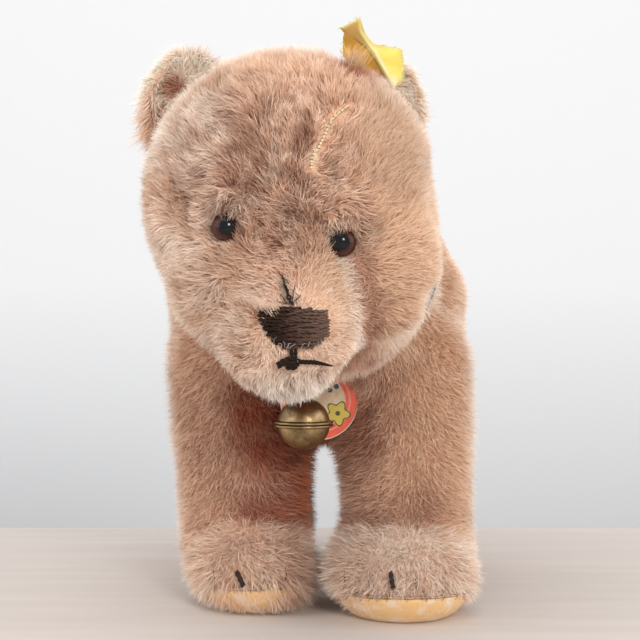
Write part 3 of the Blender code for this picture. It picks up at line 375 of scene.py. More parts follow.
def merged_copy(node):
    """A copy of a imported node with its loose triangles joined."""
    work = bmesh.new()
    work.from_mesh(NODES[node].data)
    bmesh.ops.remove_doubles(work, verts=work.verts, dist=0.000002)
    mesh = bpy.data.meshes.new(node + "_copy")
    work.to_mesh(mesh)
    work.free()
    return mesh


def tree_of(mesh):
    work = bmesh.new()
    work.from_mesh(mesh)
    tree = BVHTree.FromBMesh(work)
    work.free()
    return tree


def remeshed(name, source, voxel, rounds):
    """A smooth even skin over a closed mesh."""
    blank = link(name + "_blank", source)
    fuse = blank.modifiers.new("fuse", "REMESH")
    fuse.mode = "VOXEL"
    fuse.voxel_size = voxel
    smooth = blank.modifiers.new("smooth", "SMOOTH")
    smooth.factor = 0.5
    smooth.iterations = rounds
    made = evaluated(blank)
    bpy.data.objects.remove(blank)
    return made


def plug(tree, socket, value):
    """Link a socket to another, or set its value."""
    if isinstance(value, bpy.types.NodeSocket):
        tree.links.new(value, socket)
    else:
        socket.default_value = value


def add(tree, kind, inputs=None, **settings):
    """A new node with its settings and inputs."""
    made = tree.nodes.new(kind)
    for key, value in settings.items():
        setattr(made, key, value)
    for key, value in (inputs or {}).items():
        plug(tree, made.inputs[key], value)
    return made


def maths(tree, operation, first, second=0.0, third=0.0):
    return add(tree, "ShaderNodeMath", {0: first, 1: second, 2: third}, operation=operation).outputs[0]


def vector_maths(tree, operation, first, second=(0.0, 0.0, 0.0)):
    made = add(tree, "ShaderNodeVectorMath", {0: first}, operation=operation)
    if operation == "SCALE":
        plug(tree, made.inputs["Scale"], second)
    else:
        plug(tree, made.inputs[1], second)
    return made.outputs["Value" if operation == "DOT_PRODUCT" else "Vector"]


def new_tree(name, *inputs):
    """A geometry tree with its mesh, its sizes and its finish as inputs."""
    tree = bpy.data.node_groups.new(name, "GeometryNodeTree")
    kinds = {float: "NodeSocketFloat", int: "NodeSocketInt"}
    tree.interface.new_socket("Geometry", in_out="INPUT", socket_type="NodeSocketGeometry")
    for label, value in inputs:
        made = tree.interface.new_socket(label, in_out="INPUT", socket_type=kinds[type(value)])
        made.default_value = value
    tree.interface.new_socket("Finish", in_out="INPUT", socket_type="NodeSocketMaterial")
    tree.interface.new_socket("Geometry", in_out="OUTPUT", socket_type="NodeSocketGeometry")
    return tree


def close_tree(tree, geometry, finish):
    """Make the instances real, give them their finish and end the tree."""
    made = add(tree, "GeometryNodeRealizeInstances", {"Geometry": geometry}).outputs[0]
    made = add(tree, "GeometryNodeSetMaterial", {"Geometry": made, "Material": finish}).outputs[0]
    plug(tree, tree.nodes.new("NodeGroupOutput").inputs[0], made)


def hair_tree():
    """Geometry nodes that plant bent hairs on a surface and gather them in locks."""
    tree = new_tree("Plant hair", ("Density", 1.0), ("Width", 0.0003), ("Length", 0.006),
                    ("Pieces Along", 2), ("Bend", 0.3), ("Lock Size", 0.003), ("Gather", 0.5),
                    ("Stray", 0.2), ("Seed", 1))
    given = tree.nodes.new("NodeGroupInput").outputs
    seed = given["Seed"]

    def kept(name, kind="FLOAT"):
        return add(tree, "GeometryNodeInputNamedAttribute", {"Name": name},
                   data_type=kind).outputs["Attribute"]

    def random(low, high, step, kind="FLOAT"):
        made = add(tree, "FunctionNodeRandomValue", data_type=kind)
        plug(tree, made.inputs[0 if kind == "FLOAT_VECTOR" else 2], low)
        plug(tree, made.inputs[1 if kind == "FLOAT_VECTOR" else 3], high)
        plug(tree, made.inputs["Seed"], maths(tree, "ADD", seed, float(step)))
        return made.outputs[0 if kind == "FLOAT_VECTOR" else 1]

    density = maths(tree, "MULTIPLY", given["Density"], kept("thick"))
    planted = add(tree, "GeometryNodeDistributePointsOnFaces",
                  {"Mesh": given["Geometry"], "Density": density, "Seed": seed}, distribute_method="RANDOM")
    normal = planted.outputs["Normal"]
    place = add(tree, "GeometryNodeInputPosition").outputs[0]

    cells = add(tree, "ShaderNodeTexVoronoi", {"Vector": place}, voronoi_dimensions="3D", feature="F1")
    plug(tree, cells.inputs["Scale"], maths(tree, "DIVIDE", 1.0, given["Lock Size"]))
    towards = vector_maths(tree, "SUBTRACT", cells.outputs["Position"], place)
    lift = vector_maths(tree, "DOT_PRODUCT", towards, normal)
    towards = vector_maths(tree, "SUBTRACT", towards, vector_maths(tree, "SCALE", normal, lift))
    pull = maths(tree, "DIVIDE", given["Gather"], given["Lock Size"])
    towards = vector_maths(tree, "SCALE", towards, maths(tree, "MULTIPLY", pull, kept("tuft")))

    lie = kept("lie")
    comb = kept("comb", "FLOAT_VECTOR")
    upright = vector_maths(tree, "SCALE", normal, maths(tree, "SUBTRACT", 1.0, lie))
    lying = vector_maths(tree, "SCALE", comb, lie)
    stray = vector_maths(tree, "SCALE", random((-1.0,) * 3, (1.0,) * 3, 3, "FLOAT_VECTOR"),
                         maths(tree, "MULTIPLY", given["Stray"], kept("tousle")))
    growth = vector_maths(tree, "ADD", vector_maths(tree, "ADD", upright, lying),
                          vector_maths(tree, "ADD", towards, stray))
    side = vector_maths(tree, "ADD", comb, random((-0.8,) * 3, (0.8,) * 3, 4, "FLOAT_VECTOR"))
    stand = add(tree, "FunctionNodeAlignRotationToVector", {"Vector": growth}, axis="Z").outputs[0]
    stand = add(tree, "FunctionNodeAlignRotationToVector", {"Rotation": stand, "Vector": side},
                axis="X", pivot_axis="Z").outputs[0]

    wide = maths(tree, "MULTIPLY", given["Width"], random(0.75, 1.25, 5))
    long = maths(tree, "MULTIPLY", maths(tree, "MULTIPLY", given["Length"], kept("pile")),
                 random(0.72, 1.12, 6))
    size = add(tree, "ShaderNodeCombineXYZ", {"X": wide, "Y": wide, "Z": long}).outputs[0]

    rows = maths(tree, "ADD", given["Pieces Along"], 1.0)
    strip = add(tree, "GeometryNodeMeshGrid",
                {"Size X": 1.0, "Size Y": 1.0, "Vertices X": 2, "Vertices Y": rows})
    parts = add(tree, "ShaderNodeSeparateXYZ", {0: place}).outputs
    height = maths(tree, "ADD", parts["Y"], 0.5)
    blade = add(tree, "GeometryNodeStoreNamedAttribute",
                {"Geometry": strip.outputs["Mesh"], "Name": "hair_t", "Value": height},
                data_type="FLOAT", domain="POINT").outputs[0]
    left = maths(tree, "SUBTRACT", 1.0, height)
    swell = maths(tree, "MULTIPLY", left, maths(tree, "MULTIPLY_ADD", height, 2.2, 1.0))
    lean = maths(tree, "MULTIPLY", maths(tree, "MULTIPLY", height, height), given["Bend"])
    lean = maths(tree, "MULTIPLY", lean, maths(tree, "DIVIDE", given["Length"], given["Width"]))
    bent = add(tree, "ShaderNodeCombineXYZ",
               {"X": lean, "Y": maths(tree, "MULTIPLY", parts["X"], swell), "Z": height}).outputs[0]
    blade = add(tree, "GeometryNodeSetPosition", {"Geometry": blade, "Position": bent}).outputs[0]
    blade = add(tree, "GeometryNodeMergeByDistance", {"Geometry": blade, "Distance": 0.0001}).outputs[0]

    cell_tone = add(tree, "ShaderNodeSeparateXYZ", {0: cells.outputs["Color"]}).outputs["X"]
    tone = maths(tree, "MULTIPLY_ADD", cell_tone, 0.5, maths(tree, "MULTIPLY", random(0.0, 1.0, 7), 0.5))
    toned = add(tree, "GeometryNodeStoreNamedAttribute",
                {"Geometry": planted.outputs["Points"], "Name": "hair_tone", "Value": tone},
                data_type="FLOAT", domain="POINT").outputs[0]
    grown = add(tree, "GeometryNodeInstanceOnPoints",
                {"Points": toned, "Instance": blade, "Rotation": stand, "Scale": size}).outputs[0]
    close_tree(tree, grown, given["Finish"])
    return tree


def thread_tree():
    """Geometry nodes that lay a twisted thread of several plies along every path."""
    tree = new_tree(THREAD_TREE, ("Radius", 0.0004), ("Plies", 2), ("Twist", 0.002), ("Step", 0.0004))
    given = tree.nodes.new("NodeGroupInput").outputs
    path = add(tree, "GeometryNodeMeshToCurve", {"Mesh": given["Geometry"]}).outputs[0]
    path = add(tree, "GeometryNodeResampleCurve", {"Curve": path, "Length": given["Step"]},
               mode="LENGTH").outputs[0]
    plies = add(tree, "GeometryNodeDuplicateElements", {"Geometry": path, "Amount": given["Plies"]},
                domain="SPLINE")
    run = add(tree, "GeometryNodeSplineParameter").outputs["Length"]
    angle = maths(tree, "MULTIPLY", maths(tree, "DIVIDE", run, given["Twist"]), TURN)
    start = maths(tree, "DIVIDE", plies.outputs["Duplicate Index"], given["Plies"])
    angle = maths(tree, "MULTIPLY_ADD", start, TURN, angle)
    aside = add(tree, "GeometryNodeInputNormal").outputs[0]
    ahead = add(tree, "GeometryNodeInputTangent").outputs[0]
    across = vector_maths(tree, "CROSS_PRODUCT", ahead, aside)
    offset = vector_maths(tree, "ADD", vector_maths(tree, "SCALE", aside, maths(tree, "COSINE", angle)),
                          vector_maths(tree, "SCALE", across, maths(tree, "SINE", angle)))
    ply = maths(tree, "MULTIPLY", given["Radius"], 0.56)
    reach = maths(tree, "MULTIPLY", given["Radius"], 0.44)
    offset = vector_maths(tree, "SCALE", offset, reach)
    laid = add(tree, "GeometryNodeSetPosition", {"Geometry": plies.outputs[0], "Offset": offset}).outputs[0]
    profile = add(tree, "GeometryNodeCurvePrimitiveCircle", {"Resolution": 6, "Radius": ply},
                  mode="RADIUS").outputs[0]
    made = add(tree, "GeometryNodeCurveToMesh",
               {"Curve": laid, "Profile Curve": profile, "Fill Caps": True}).outputs[0]
    made = add(tree, "GeometryNodeSetShadeSmooth", {"Geometry": made}).outputs[0]
    close_tree(tree, made, given["Finish"])
    return tree


def grow(name, source, tree, values):
    """Run a tree on a mesh and keep its result as a plain mesh of its own."""
    carrier = link(name + "_carrier", source)
    modifier = carrier.modifiers.new("grow", "NODES")
    modifier.node_group = tree
    for item in tree.interface.items_tree:
        if item.in_out == "INPUT" and item.name in values:
            modifier[item.identifier] = values[item.name]
    made = evaluated(carrier)
    carrier.modifiers.clear()
    bpy.data.objects.remove(carrier)
    made.name = name
    return link(name, made)


def give_hair_uv(mesh, pieces):
    """One cell of the map for each hair, its length up the cell."""
    corners, spots = 4 * pieces - 1, 2 * pieces + 1
    count = len(mesh.loops)
    corner = np.empty(count, dtype=int)
    mesh.loops.foreach_get("vertex_index", corner)
    along = np.empty(len(mesh.vertices))
    mesh.attributes["hair_t"].data.foreach_get("value", along)
    hair = np.arange(count) // corners
    side = math.ceil(math.sqrt(count / corners))
    u = (hair % side + 0.15 + 0.70 * (corner % spots) / (spots - 1)) / side
    v = (hair // side + 0.1 + 0.8 * along[corner]) / side
    layer = mesh.uv_layers.new(name="OFBake")
    layer.data.foreach_set("uv", np.stack([u, v], axis=1).ravel())


def principled(name, roughness=0.8, **inputs):
    """A material with its Principled shader, and its tree; an input's name has _ for each space."""
    made = bpy.data.materials.new(name)
    made.use_nodes = True
    shader = made.node_tree.nodes["Principled BSDF"]
    for key, value in {"Roughness": roughness, **inputs}.items():
        shader.inputs[key.replace("_", " ")].default_value = value
    return made, made.node_tree, shader


def mixed(tree, factor, first, second, blend="MIX"):
    """Two colours mixed."""
    made = add(tree, "ShaderNodeMix", data_type="RGBA", blend_type=blend)
    plug(tree, made.inputs["Factor"], factor)
    plug(tree, made.inputs["A"], first)
    plug(tree, made.inputs["B"], second)
    return made.outputs["Result"]


def ramp(tree, factor, *stops):
    """A colour ramp from (place, colour) stops."""
    made = add(tree, "ShaderNodeValToRGB", {"Fac": factor})
    elements = made.color_ramp.elements
    while len(elements) < len(stops):
        elements.new(0.5)
    for element, (place, colour) in zip(elements, stops):
        element.position = place
        element.color = colour if len(colour) == 4 else (*colour, 1.0)
    return made.outputs["Color"]


def grey(level):
    return (level, level, level, 1.0)


def times(colour, share):
    """A colour made darker or lighter."""
    return tuple(value * share for value in colour[:3])


def noise(tree, scale, detail=2.0, roughness=0.5, vector=None):
    made = add(tree, "ShaderNodeTexNoise", {"Scale": scale, "Detail": detail, "Roughness": roughness})
    plug(tree, made.inputs["Vector"], vector or place_of(tree))
    return made.outputs["Fac"]


def place_of(tree):
    """Object coordinates."""
    found = tree.nodes.get("Place") or add(tree, "ShaderNodeTexCoord", name="Place")
    return found.outputs["Object"]


def attribute(tree, name, output="Fac"):
    return add(tree, "ShaderNodeAttribute", attribute_name=name).outputs[output]


def bump(tree, shader, height, distance, strength=1.0):
    made = add(tree, "ShaderNodeBump", {"Height": height, "Distance": distance, "Strength": strength})
    plug(tree, shader.inputs["Normal"], made.outputs[0])


def mohair_finish(plush, name, backing):
    """Mohair: reddish root, caramel middle and pale tip; smoother or paler by region, with painted shade and
    painted light mixed in by region.
    """
    made, tree, shader = principled(name, roughness=0.7, Specular_IOR_Level=0.25, Sheen_Weight=0.25,
                                    Sheen_Roughness=0.5)
    patch = noise(tree, 200.0, 3.0)
    if backing:
        speck = noise(tree, 900.0, 3.0, 0.7)
        along = maths(tree, "MULTIPLY_ADD", speck, 0.6, 0.0)
        tone = noise(tree, 420.0, 2.0)
        bump(tree, shader, speck, 0.0006)
    else:
        along = attribute(tree, "hair_t")
        tone = attribute(tree, "hair_tone")
    colour = ramp(tree, along, (0.0, tuple(plush.root)), (0.45, tuple(plush.middle)),
                  (1.0, tuple(plush.tip)))
    # The regions mix in the mohair's own colours and the painted light and shade.
    for field, root, middle, tip in REGION_COLOURS:
        region = ramp(tree, along, (0.0, root), (0.5, middle), (1.0, tip))
        colour = mixed(tree, attribute(tree, field), colour, region)
    spread = maths(tree, "MULTIPLY_ADD", tone, 0.6, maths(tree, "MULTIPLY", patch, 0.4))
    varied = ramp(tree, spread, (0.24, (0.46, 0.34, 0.28)), (0.50, grey(0.98)), (0.76, (1.26, 1.38, 1.50)))
    colour = mixed(tree, attribute(tree, "mottle"), colour, varied, "MULTIPLY")
    # Painted shade, and the dark spots and hairs of the head, in one dark colour.
    colour = mixed(tree, attribute(tree, "shade"), colour, SHADE_COLOUR)
    plug(tree, shader.inputs["Base Color"], colour)
    return made


def cord_places():
    """Middle of the neck cord at even angles round the neck."""
    mesh = merged_copy("neck_cord")
    points = coordinates(mesh)
    middle = (points.min(axis=0) + points.max(axis=0)) / 2.0
    angle = np.arctan2(points[:, 0] - middle[0], points[:, 2] - middle[2])
    order = np.argsort(angle)
    angle, points = angle[order], points[order]
    places = []
    for target in np.linspace(-math.pi, math.pi, 73)[:-1]:
        weight = np.exp(-(turn_apart(angle, target) / 0.10) ** 2)
        places.append((points * weight[:, None]).sum(axis=0) / weight.sum())
    places = np.array(places)
    return places + near(places, CORD_SHOWS, 0.013, 0.3)[:, None] * CORD_SLACK


def turn_apart(angle, target):
    """How far angles lie from one, the shorter way round."""
    return np.abs((angle - target + math.pi) % TURN - math.pi)


def nearest(points, places):
    """Distance of each point from the nearest of a few places."""
    best = np.full(len(points), FAR)
    for place in places:
        best = np.minimum(best, np.linalg.norm(points - place, axis=1))
    return best


def turned_comb(comb, normals, angle):
    """The comb direction turned about the surface's normal."""
    return comb * np.cos(angle)[:, None] + np.cross(normals, comb) * np.sin(angle)[:, None]


def blob(points, across, height, wide, tall, soft=0.35):
    """1 in an oval patch as the front view shows it, 0 past its edge."""
    reach = np.hypot((points[:, 0] - across) / wide, (points[:, 2] - height) / tall)
    return 1.0 - smoothstep(soft, 1.0, reach)


def ovals(points, patches):
    """The strongest of several ovals at each point."""
    return np.maximum.reduce([much * blob(points, *oval) for much, *oval in patches])


def from_line(points, spots):
    """Distance of each point from a line of (across, height) spots, as the front view shows it."""
    best = np.full(len(points), FAR)
    for (x0, z0), (x1, z1) in zip(spots, spots[1:]):
        run = np.array([x1 - x0, z1 - z0])
        rel = points[:, (0, 2)] - np.array([x0, z0])
        share = np.clip(rel @ run / (run @ run), 0.0, 1.0)
        best = np.minimum(best, np.linalg.norm(rel - share[:, None] * run, axis=1))
    return best


def by_line(points, spots, inner, outer):
    """1 on a line of the front view, 0 past its outer reach."""
    return 1.0 - smoothstep(inner, outer, from_line(points, spots))


def swept(comb, direction, share):
    """The comb turned towards a direction."""
    return comb * (1.0 - share[:, None]) + np.asarray(direction) * share[:, None]


def between(values, start, full, last, end):
    """0 below the start, 1 from full to last, 0 past the end."""
    return smoothstep(start, full, values) * smoothstep(end, last, values)


def under_tag(points, much):
    """An amount over the part of the crown that the ear tag covers."""
    return much * blob(points, *EAR_TAG_ROOM, 0.7) * smoothstep(-0.040, -0.044, points[:, 1])


def head_regions(points):
    """The waves and the regions over the head that its pile and its colours share."""
    on = SimpleNamespace(broad=wavering(points, 0.011, 1), fine=wavering(points, 0.0045, 2),
                         spots=wavering(points, 0.0030, 3))
    on.front = smoothstep(-0.005, 0.015, SKULL[1] - points[:, 1])
    on.muzzle = near(points, NOSE + (0.0, 0.010, -0.002), 0.026, 0.55)
    on.chin = near(points, NOSE + (0.0, 0.010, -0.019), 0.019, 0.35)
    on.smooth = ovals(points, HEAD_BARE) * on.front
    on.rough = 1.0 - 0.75 * on.smooth
    on.crease = by_line(points, MUZZLE_EDGE, 0.0004, 0.0036) * on.front
    on.over = by_line(points, EAR_TAG_LAP, 0.0012, 0.0036) * smoothstep(-0.0500, -0.0540, points[:, 1])
    on.corner = near(points, NOSE_CORNER, 0.0042, 0.5)
    return on


def head_pile(points, normals, on):
    """How the head's hair is combed, and how long, thick and flat it is."""
    comb = tangent(points - NOSE - (0.0, 0.004, 0.003), normals)
    comb = turned_comb(comb, normals, (2.6 * on.broad + 1.6 * on.fine) * on.rough)
    pile = (1.0 + 0.25 * on.fine) * (1.0 - 0.22 * on.smooth) * (1.0 - 0.42 * on.muzzle)
    pile = np.maximum(pile, 0.95 * on.chin)
    for much, *oval in HEAD_WORN:
        pile *= 1.0 - much * blob(points, *oval)
    for eye in EYES.values():
        lid = near(points, eye + (0.0, 0.0, 0.0050), 0.0052, 0.5) * (points[:, 2] > eye[2] + 0.0020)
        comb = swept(comb, (0.0, -0.2, -1.0), lid)
        pile *= 1.0 - (0.62 - 0.12 * lid) * near(points, eye, 0.0068, 0.48)
    pile *= 1.0 - 0.50 * near(points, NOSE + (0.0, 0.002, 0.0), 0.0118, 0.66)
    pile *= 1.0 - 0.60 * on.crease
    for stitch in MOUTH_STITCHES + MOUTH_TAIL:
        pile *= 1.0 - 0.55 * by_line(points, stitch, 0.0006, 0.0022) * on.front
    seam = np.where(points[:, 1] < SKULL[1], from_line(points, SEAM_PLACES), FAR)
    pile *= 0.12 + 0.88 * smoothstep(0.0006, 0.0026, seam)
    tag = np.where(points[:, 1] < SKULL[1] + 0.02, from_line(points, EAR_TAG_FOLD), FAR)
    pile *= 0.45 + 0.55 * smoothstep(0.0010, 0.0026, tag)
    pile *= 1.0 - under_tag(points, 0.75)
    comb = swept(comb, (0.5, -0.2, 1.0), on.over)
    pile = np.maximum(pile, 1.80 * on.over)
    comb = swept(comb, (1.0, -0.5, -0.5), on.corner)
    pile = np.maximum(pile, 1.25 * on.corner)
    thick = 1.0 - 0.9 * smoothstep(0.0016, 0.0008, seam)
    for eye in EYES.values():
        thick *= 1.0 - near(points, eye + (0.0, -0.001, 0.0), 0.0038, 0.88)
    lie = 0.36 + 0.14 * on.smooth - 0.10 * on.muzzle + 0.10 * on.fine * on.rough
    lie = lie + (0.55 - lie) * on.corner
    for side, eye in EYES.items():
        inwards = 0.0044 if side == "right" else -0.0044
        inner = near(points, eye + (inwards, 0.0, -0.0026), 0.0030, 0.5)
        lie, pile = np.maximum(lie, 0.66 * inner), np.maximum(pile, 0.95 * inner)
    return {"comb": comb, "pile": pile, "thick": thick, "lie": lie,
            "tousle": 0.35 + 0.65 * on.rough, "tuft": 0.2 + 1.8 * on.rough + 1.2 * on.chin}


def head_colours(points, normals, on):
    """Where the head is rubbed, reddish and pale, and where shade and light are painted on it."""
    fine, spots, front = on.fine, on.spots, on.front
    ruddy_and_shade = ovals(points, HEAD_RUDDY) * front * np.clip(0.30 + 1.6 * fine + 1.4 * spots, 0.0, 1.0)
    # Painted shade in the groove round the muzzle, and painted shadow of the ear tag on the crown.
    ruddy_and_shade = np.maximum(ruddy_and_shade, 0.95 * on.crease)
    ruddy_and_shade = np.maximum(ruddy_and_shade, 0.45 * blob(points, *TAG_SHADOW_WIDE) * front)
    tufts = np.clip(-2.4 * spots - 0.8 * fine, 0.0, 1.0) * blob(points, *HEAD_TUFTED) * front
    # Painted rim light along the ridge beside the muzzle's edge.
    rim = by_line(points, MUZZLE_RIM_LIGHT, 0.0004, 0.0034) * front
    # Pale: the mohair's own paler tips, tufts and muzzle, with painted light on the head's upper left, on its
    # sides that face away from the front, on the chin and along the ridge beside the muzzle.
    pale = np.maximum(ovals(points, HEAD_PALE), 0.75 * smoothstep(0.55, 0.10, -normals[:, 1]))
    pale = np.maximum(pale * np.clip(0.65 + 0.9 * fine + 0.5 * on.broad, 0.0, 1.0), on.chin)
    pale = np.maximum(pale, 0.40 * on.muzzle * np.clip(0.6 + fine, 0.0, 1.0))
    pale = np.maximum(np.maximum(pale, 0.80 * rim), 0.60 * tufts)
    lit = smoothstep(0.25, 0.55, ruddy_and_shade)
    # Shade: dark spots among the reddish mohair and dark hairs above the nose, with painted shade on the
    # muzzle's left, the forehead's right, the head's upper left, the chin, under the ear tag and in the
    # sockets round the eyes.
    shade = 0.26 * lit * np.clip(2.2 * spots + fine, 0.0, 1.0) * blob(points, *HEAD_SPOTTED)
    shade = np.maximum(np.maximum(shade, ovals(points, HEAD_SHADE) * front), 0.09 * on.chin)
    shade = np.maximum(shade, 0.55 * by_line(points, NOSE_WISP_LINE, 0.0003, 0.0013) * front)
    outer = near(points, EYES["left"] + (0.0050, 0.001, 0.0010), 0.0056, 0.2)
    shade = np.maximum(shade, 0.60 * outer * np.clip(0.6 + spots, 0.0, 1.0))
    for eye in EYES.values():
        shade = np.maximum(shade, 0.34 * near(points, eye + (0.0, 0.0, 0.0008), 0.0062, 0.55))
    # Painted shadow under the ear tag, here and in the darkest field below, and painted shade on the
    # forehead's right.
    ruddy_and_shade = np.maximum(ruddy_and_shade, 1.25 * blob(points, *TAG_SHADOW_RED) * (1.0 - on.over) * front)
    ruddy_and_shade = np.maximum(ruddy_and_shade * (0.74 - 0.50 * tufts), 0.14 * blob(points, *HEAD_RIGHT_SHADE))
    return {"wear": on.smooth, "ruddy_and_shade": ruddy_and_shade, "deep_shade": 0.85 * blob(points, *TAG_SHADOW_DARK) * front,
            "painted_light": 0.0, "pale": pale, "shade": shade,
            "mottle": 0.14 + 0.86 * on.rough * np.maximum(blob(points, *HEAD_MOTTLED), 0.35)}


def body_regions(points):
    """The waves and the regions over the trunk and the legs that pile and colours share."""
    across, along, height = points.T
    on = SimpleNamespace(broad=wavering(points, 0.014, 4), fine=wavering(points, 0.0055, 5))
    on.soles = []
    for middle, depth, half in FEET.values():
        reach = np.hypot((across - middle) / half, (height - 0.0095) / 0.0165) + 0.10 * on.fine
        foot = (1.0 - smoothstep(0.86, 1.02, reach)) * smoothstep(0.040, 0.034, np.abs(along - depth))
        on.soles.append((np.array([middle, depth - 0.004, 0.012]), foot))
    on.feet = np.maximum.reduce([foot for _, foot in on.soles])
    on.ahead = smoothstep(0.035, 0.005, along)
    on.inner = smoothstep(0.0190, 0.0060, np.abs(across - 0.0030)) * smoothstep(0.066, 0.052, height)
    on.shown = near(points, CORD_SHOWS, 0.010, 0.7)
    return on


def body_pile(points, normals, on, by_cord):
    """How the hair of trunk and legs is combed, and how long, thick and flat it is."""
    across, along, height = points.T
    comb = np.zeros_like(points)
    comb[:, 2] = -1.0
    comb[:, 1] = 0.35 + 0.65 * smoothstep(0.0, 0.03, along) * smoothstep(0.05, 0.08, height)
    pile = 0.90 + 0.12 * on.fine
    lie = 0.34 + 0.12 * on.fine
    for centre, foot in on.soles:
        out = points - centre
        out[:, 2] = out[:, 2] * 0.8 - 0.002
        comb = swept(comb, out / 0.02, foot)
        lie = lie * (1.0 - foot) + 0.42 * foot
        pile = np.maximum(pile, 1.12 * foot)
    comb = turned_comb(tangent(comb, normals), normals, 0.9 * on.broad + 0.5 * on.fine)
    hem = smoothstep(0.0150, 0.0090, height) * smoothstep(0.035, 0.030, np.abs(along + 0.010))
    kept = smoothstep(-0.003, 0.003, across) * smoothstep(0.0195, 0.0155, np.abs(across - 0.0235))
    hem *= 1.0 - np.maximum(kept, 0.60 * near(points, (-0.0175, -0.026, 0.008), 0.011, 0.4))
    pile *= 0.55 + 0.45 * np.maximum(smoothstep(0.005, 0.013, height), hem)
    pile *= 1.0 + 0.25 * hem
    comb = tangent(comb + np.array([0.0, -0.5, -2.5]) * hem[:, None], normals)
    pile *= 1.0 - (0.15 + 0.60 * on.shown) * (1.0 - smoothstep(0.0016, 0.0050, by_cord))
    pile *= 0.20 + 0.80 * smoothstep(0.0115, 0.0150, np.linalg.norm(points - CARD_CENTRE, axis=1))
    flank = smoothstep(0.35, 0.05, np.abs(normals[:, 1])) * (1.0 - on.feet)
    lie *= 1.0 - 0.75 * np.maximum(on.inner, flank * smoothstep(0.100, 0.080, height))
    middle = between(height, 0.040, 0.050, 0.072, 0.085)
    pile *= 1.0 + 0.30 * on.inner + (0.12 + 0.26 * middle) * flank
    pile *= 1.0 - 0.50 * smoothstep(0.088, 0.104, height) * smoothstep(0.024, 0.034, across)
    swing = np.maximum.reduce([near(points, place, reach, 0.5) for place, reach in BELL_ROOM])
    pile *= 1.0 - 0.55 * swing
    lie = np.maximum(lie, 0.90 * swing)
    thick = 1.0 - on.shown * (1.0 - smoothstep(0.0012, 0.0024, by_cord))
    return {"comb": comb, "pile": pile, "thick": thick, "lie": lie,
            "tousle": 1.25, "tuft": 0.8 + 1.6 * on.feet}


def body_colours(points, normals, on):
    """Where trunk and legs are rubbed, reddish and pale, and where shade and light are painted on them."""
    across, _, height = points.T
    fine, feet, ahead = on.fine, on.feet, on.ahead
    ankle = between(height, 0.0200, 0.0245, 0.0300, 0.0420) * ahead * (1.0 - feet)
    ankle *= between(across, -0.030, -0.014, 0.028, 0.040)
    ankle *= np.clip(0.70 + 0.8 * on.broad + 0.4 * fine, 0.0, 1.0)
    # Painted shade: the breast under the head, the inner side of the bear's right leg and its right ankle.
    deep_shade = blob(points, *BREAST_SHADE, 0.45) * ahead
    deep_shade = np.maximum(deep_shade, on.inner * smoothstep(0.012, 0.000, across))
    right_ankle = ankle * smoothstep(0.014, 0.004, across) * smoothstep(-0.030, -0.018, across)
    deep_shade = np.maximum(deep_shade * 1.15, right_ankle)
    deep_shade = np.clip(deep_shade, 0.0, 1.0) * (1.0 - 0.85 * feet) * np.clip(0.90 + 0.4 * fine, 0.0, 1.0)
    worn = smoothstep(0.016, 0.030, across) * ahead * (1.0 - feet)
    worn = np.maximum(worn, 0.45 * feet)
    # Pale: the feet's own pale tufts, painted lighter on their tops and on the bear's left feet; painted rim
    # light on the sides that face away from the front; and paler towards the top of the trunk.
    crown = 0.38 * smoothstep(0.014, 0.022, height) * smoothstep(0.000, 0.004, across)
    crown = 0.45 + 0.25 * (across > 0.003) + crown
    pale = np.maximum(feet * crown * np.clip(0.85 + 0.6 * fine, 0.0, 1.0),
                      0.6 * smoothstep(0.5, 0.1, -normals[:, 1]) * ahead)
    pale = np.maximum(pale, 0.55 * smoothstep(0.105, 0.130, height) * np.clip(0.6 + fine, 0.0, 1.0))
    breast = blob(points, *BREAST_RUDDY) * ahead * np.clip(0.5 + 0.9 * fine, 0.0, 1.0)
    # Reddish: painted shade on the inner sides of the legs, a band above the feet, the breast's own reddish
    # tufts, and random tone.
    ruddy_and_shade = np.maximum(0.85 * on.inner, 0.75 * ankle) * (1.0 - feet) + breast
    ruddy_and_shade = ruddy_and_shade + 0.30 * np.clip(fine + 0.3 * on.broad, 0.0, 1.0) * (1.0 - worn)
    return {"wear": worn, "ruddy_and_shade": np.clip(ruddy_and_shade, 0.0, 1.0), "deep_shade": deep_shade, "pale": pale * (1.0 - deep_shade),
            "painted_light": 0.0, "shade": 0.0, "mottle": 0.45 - 0.10 * feet - 0.20 * worn}


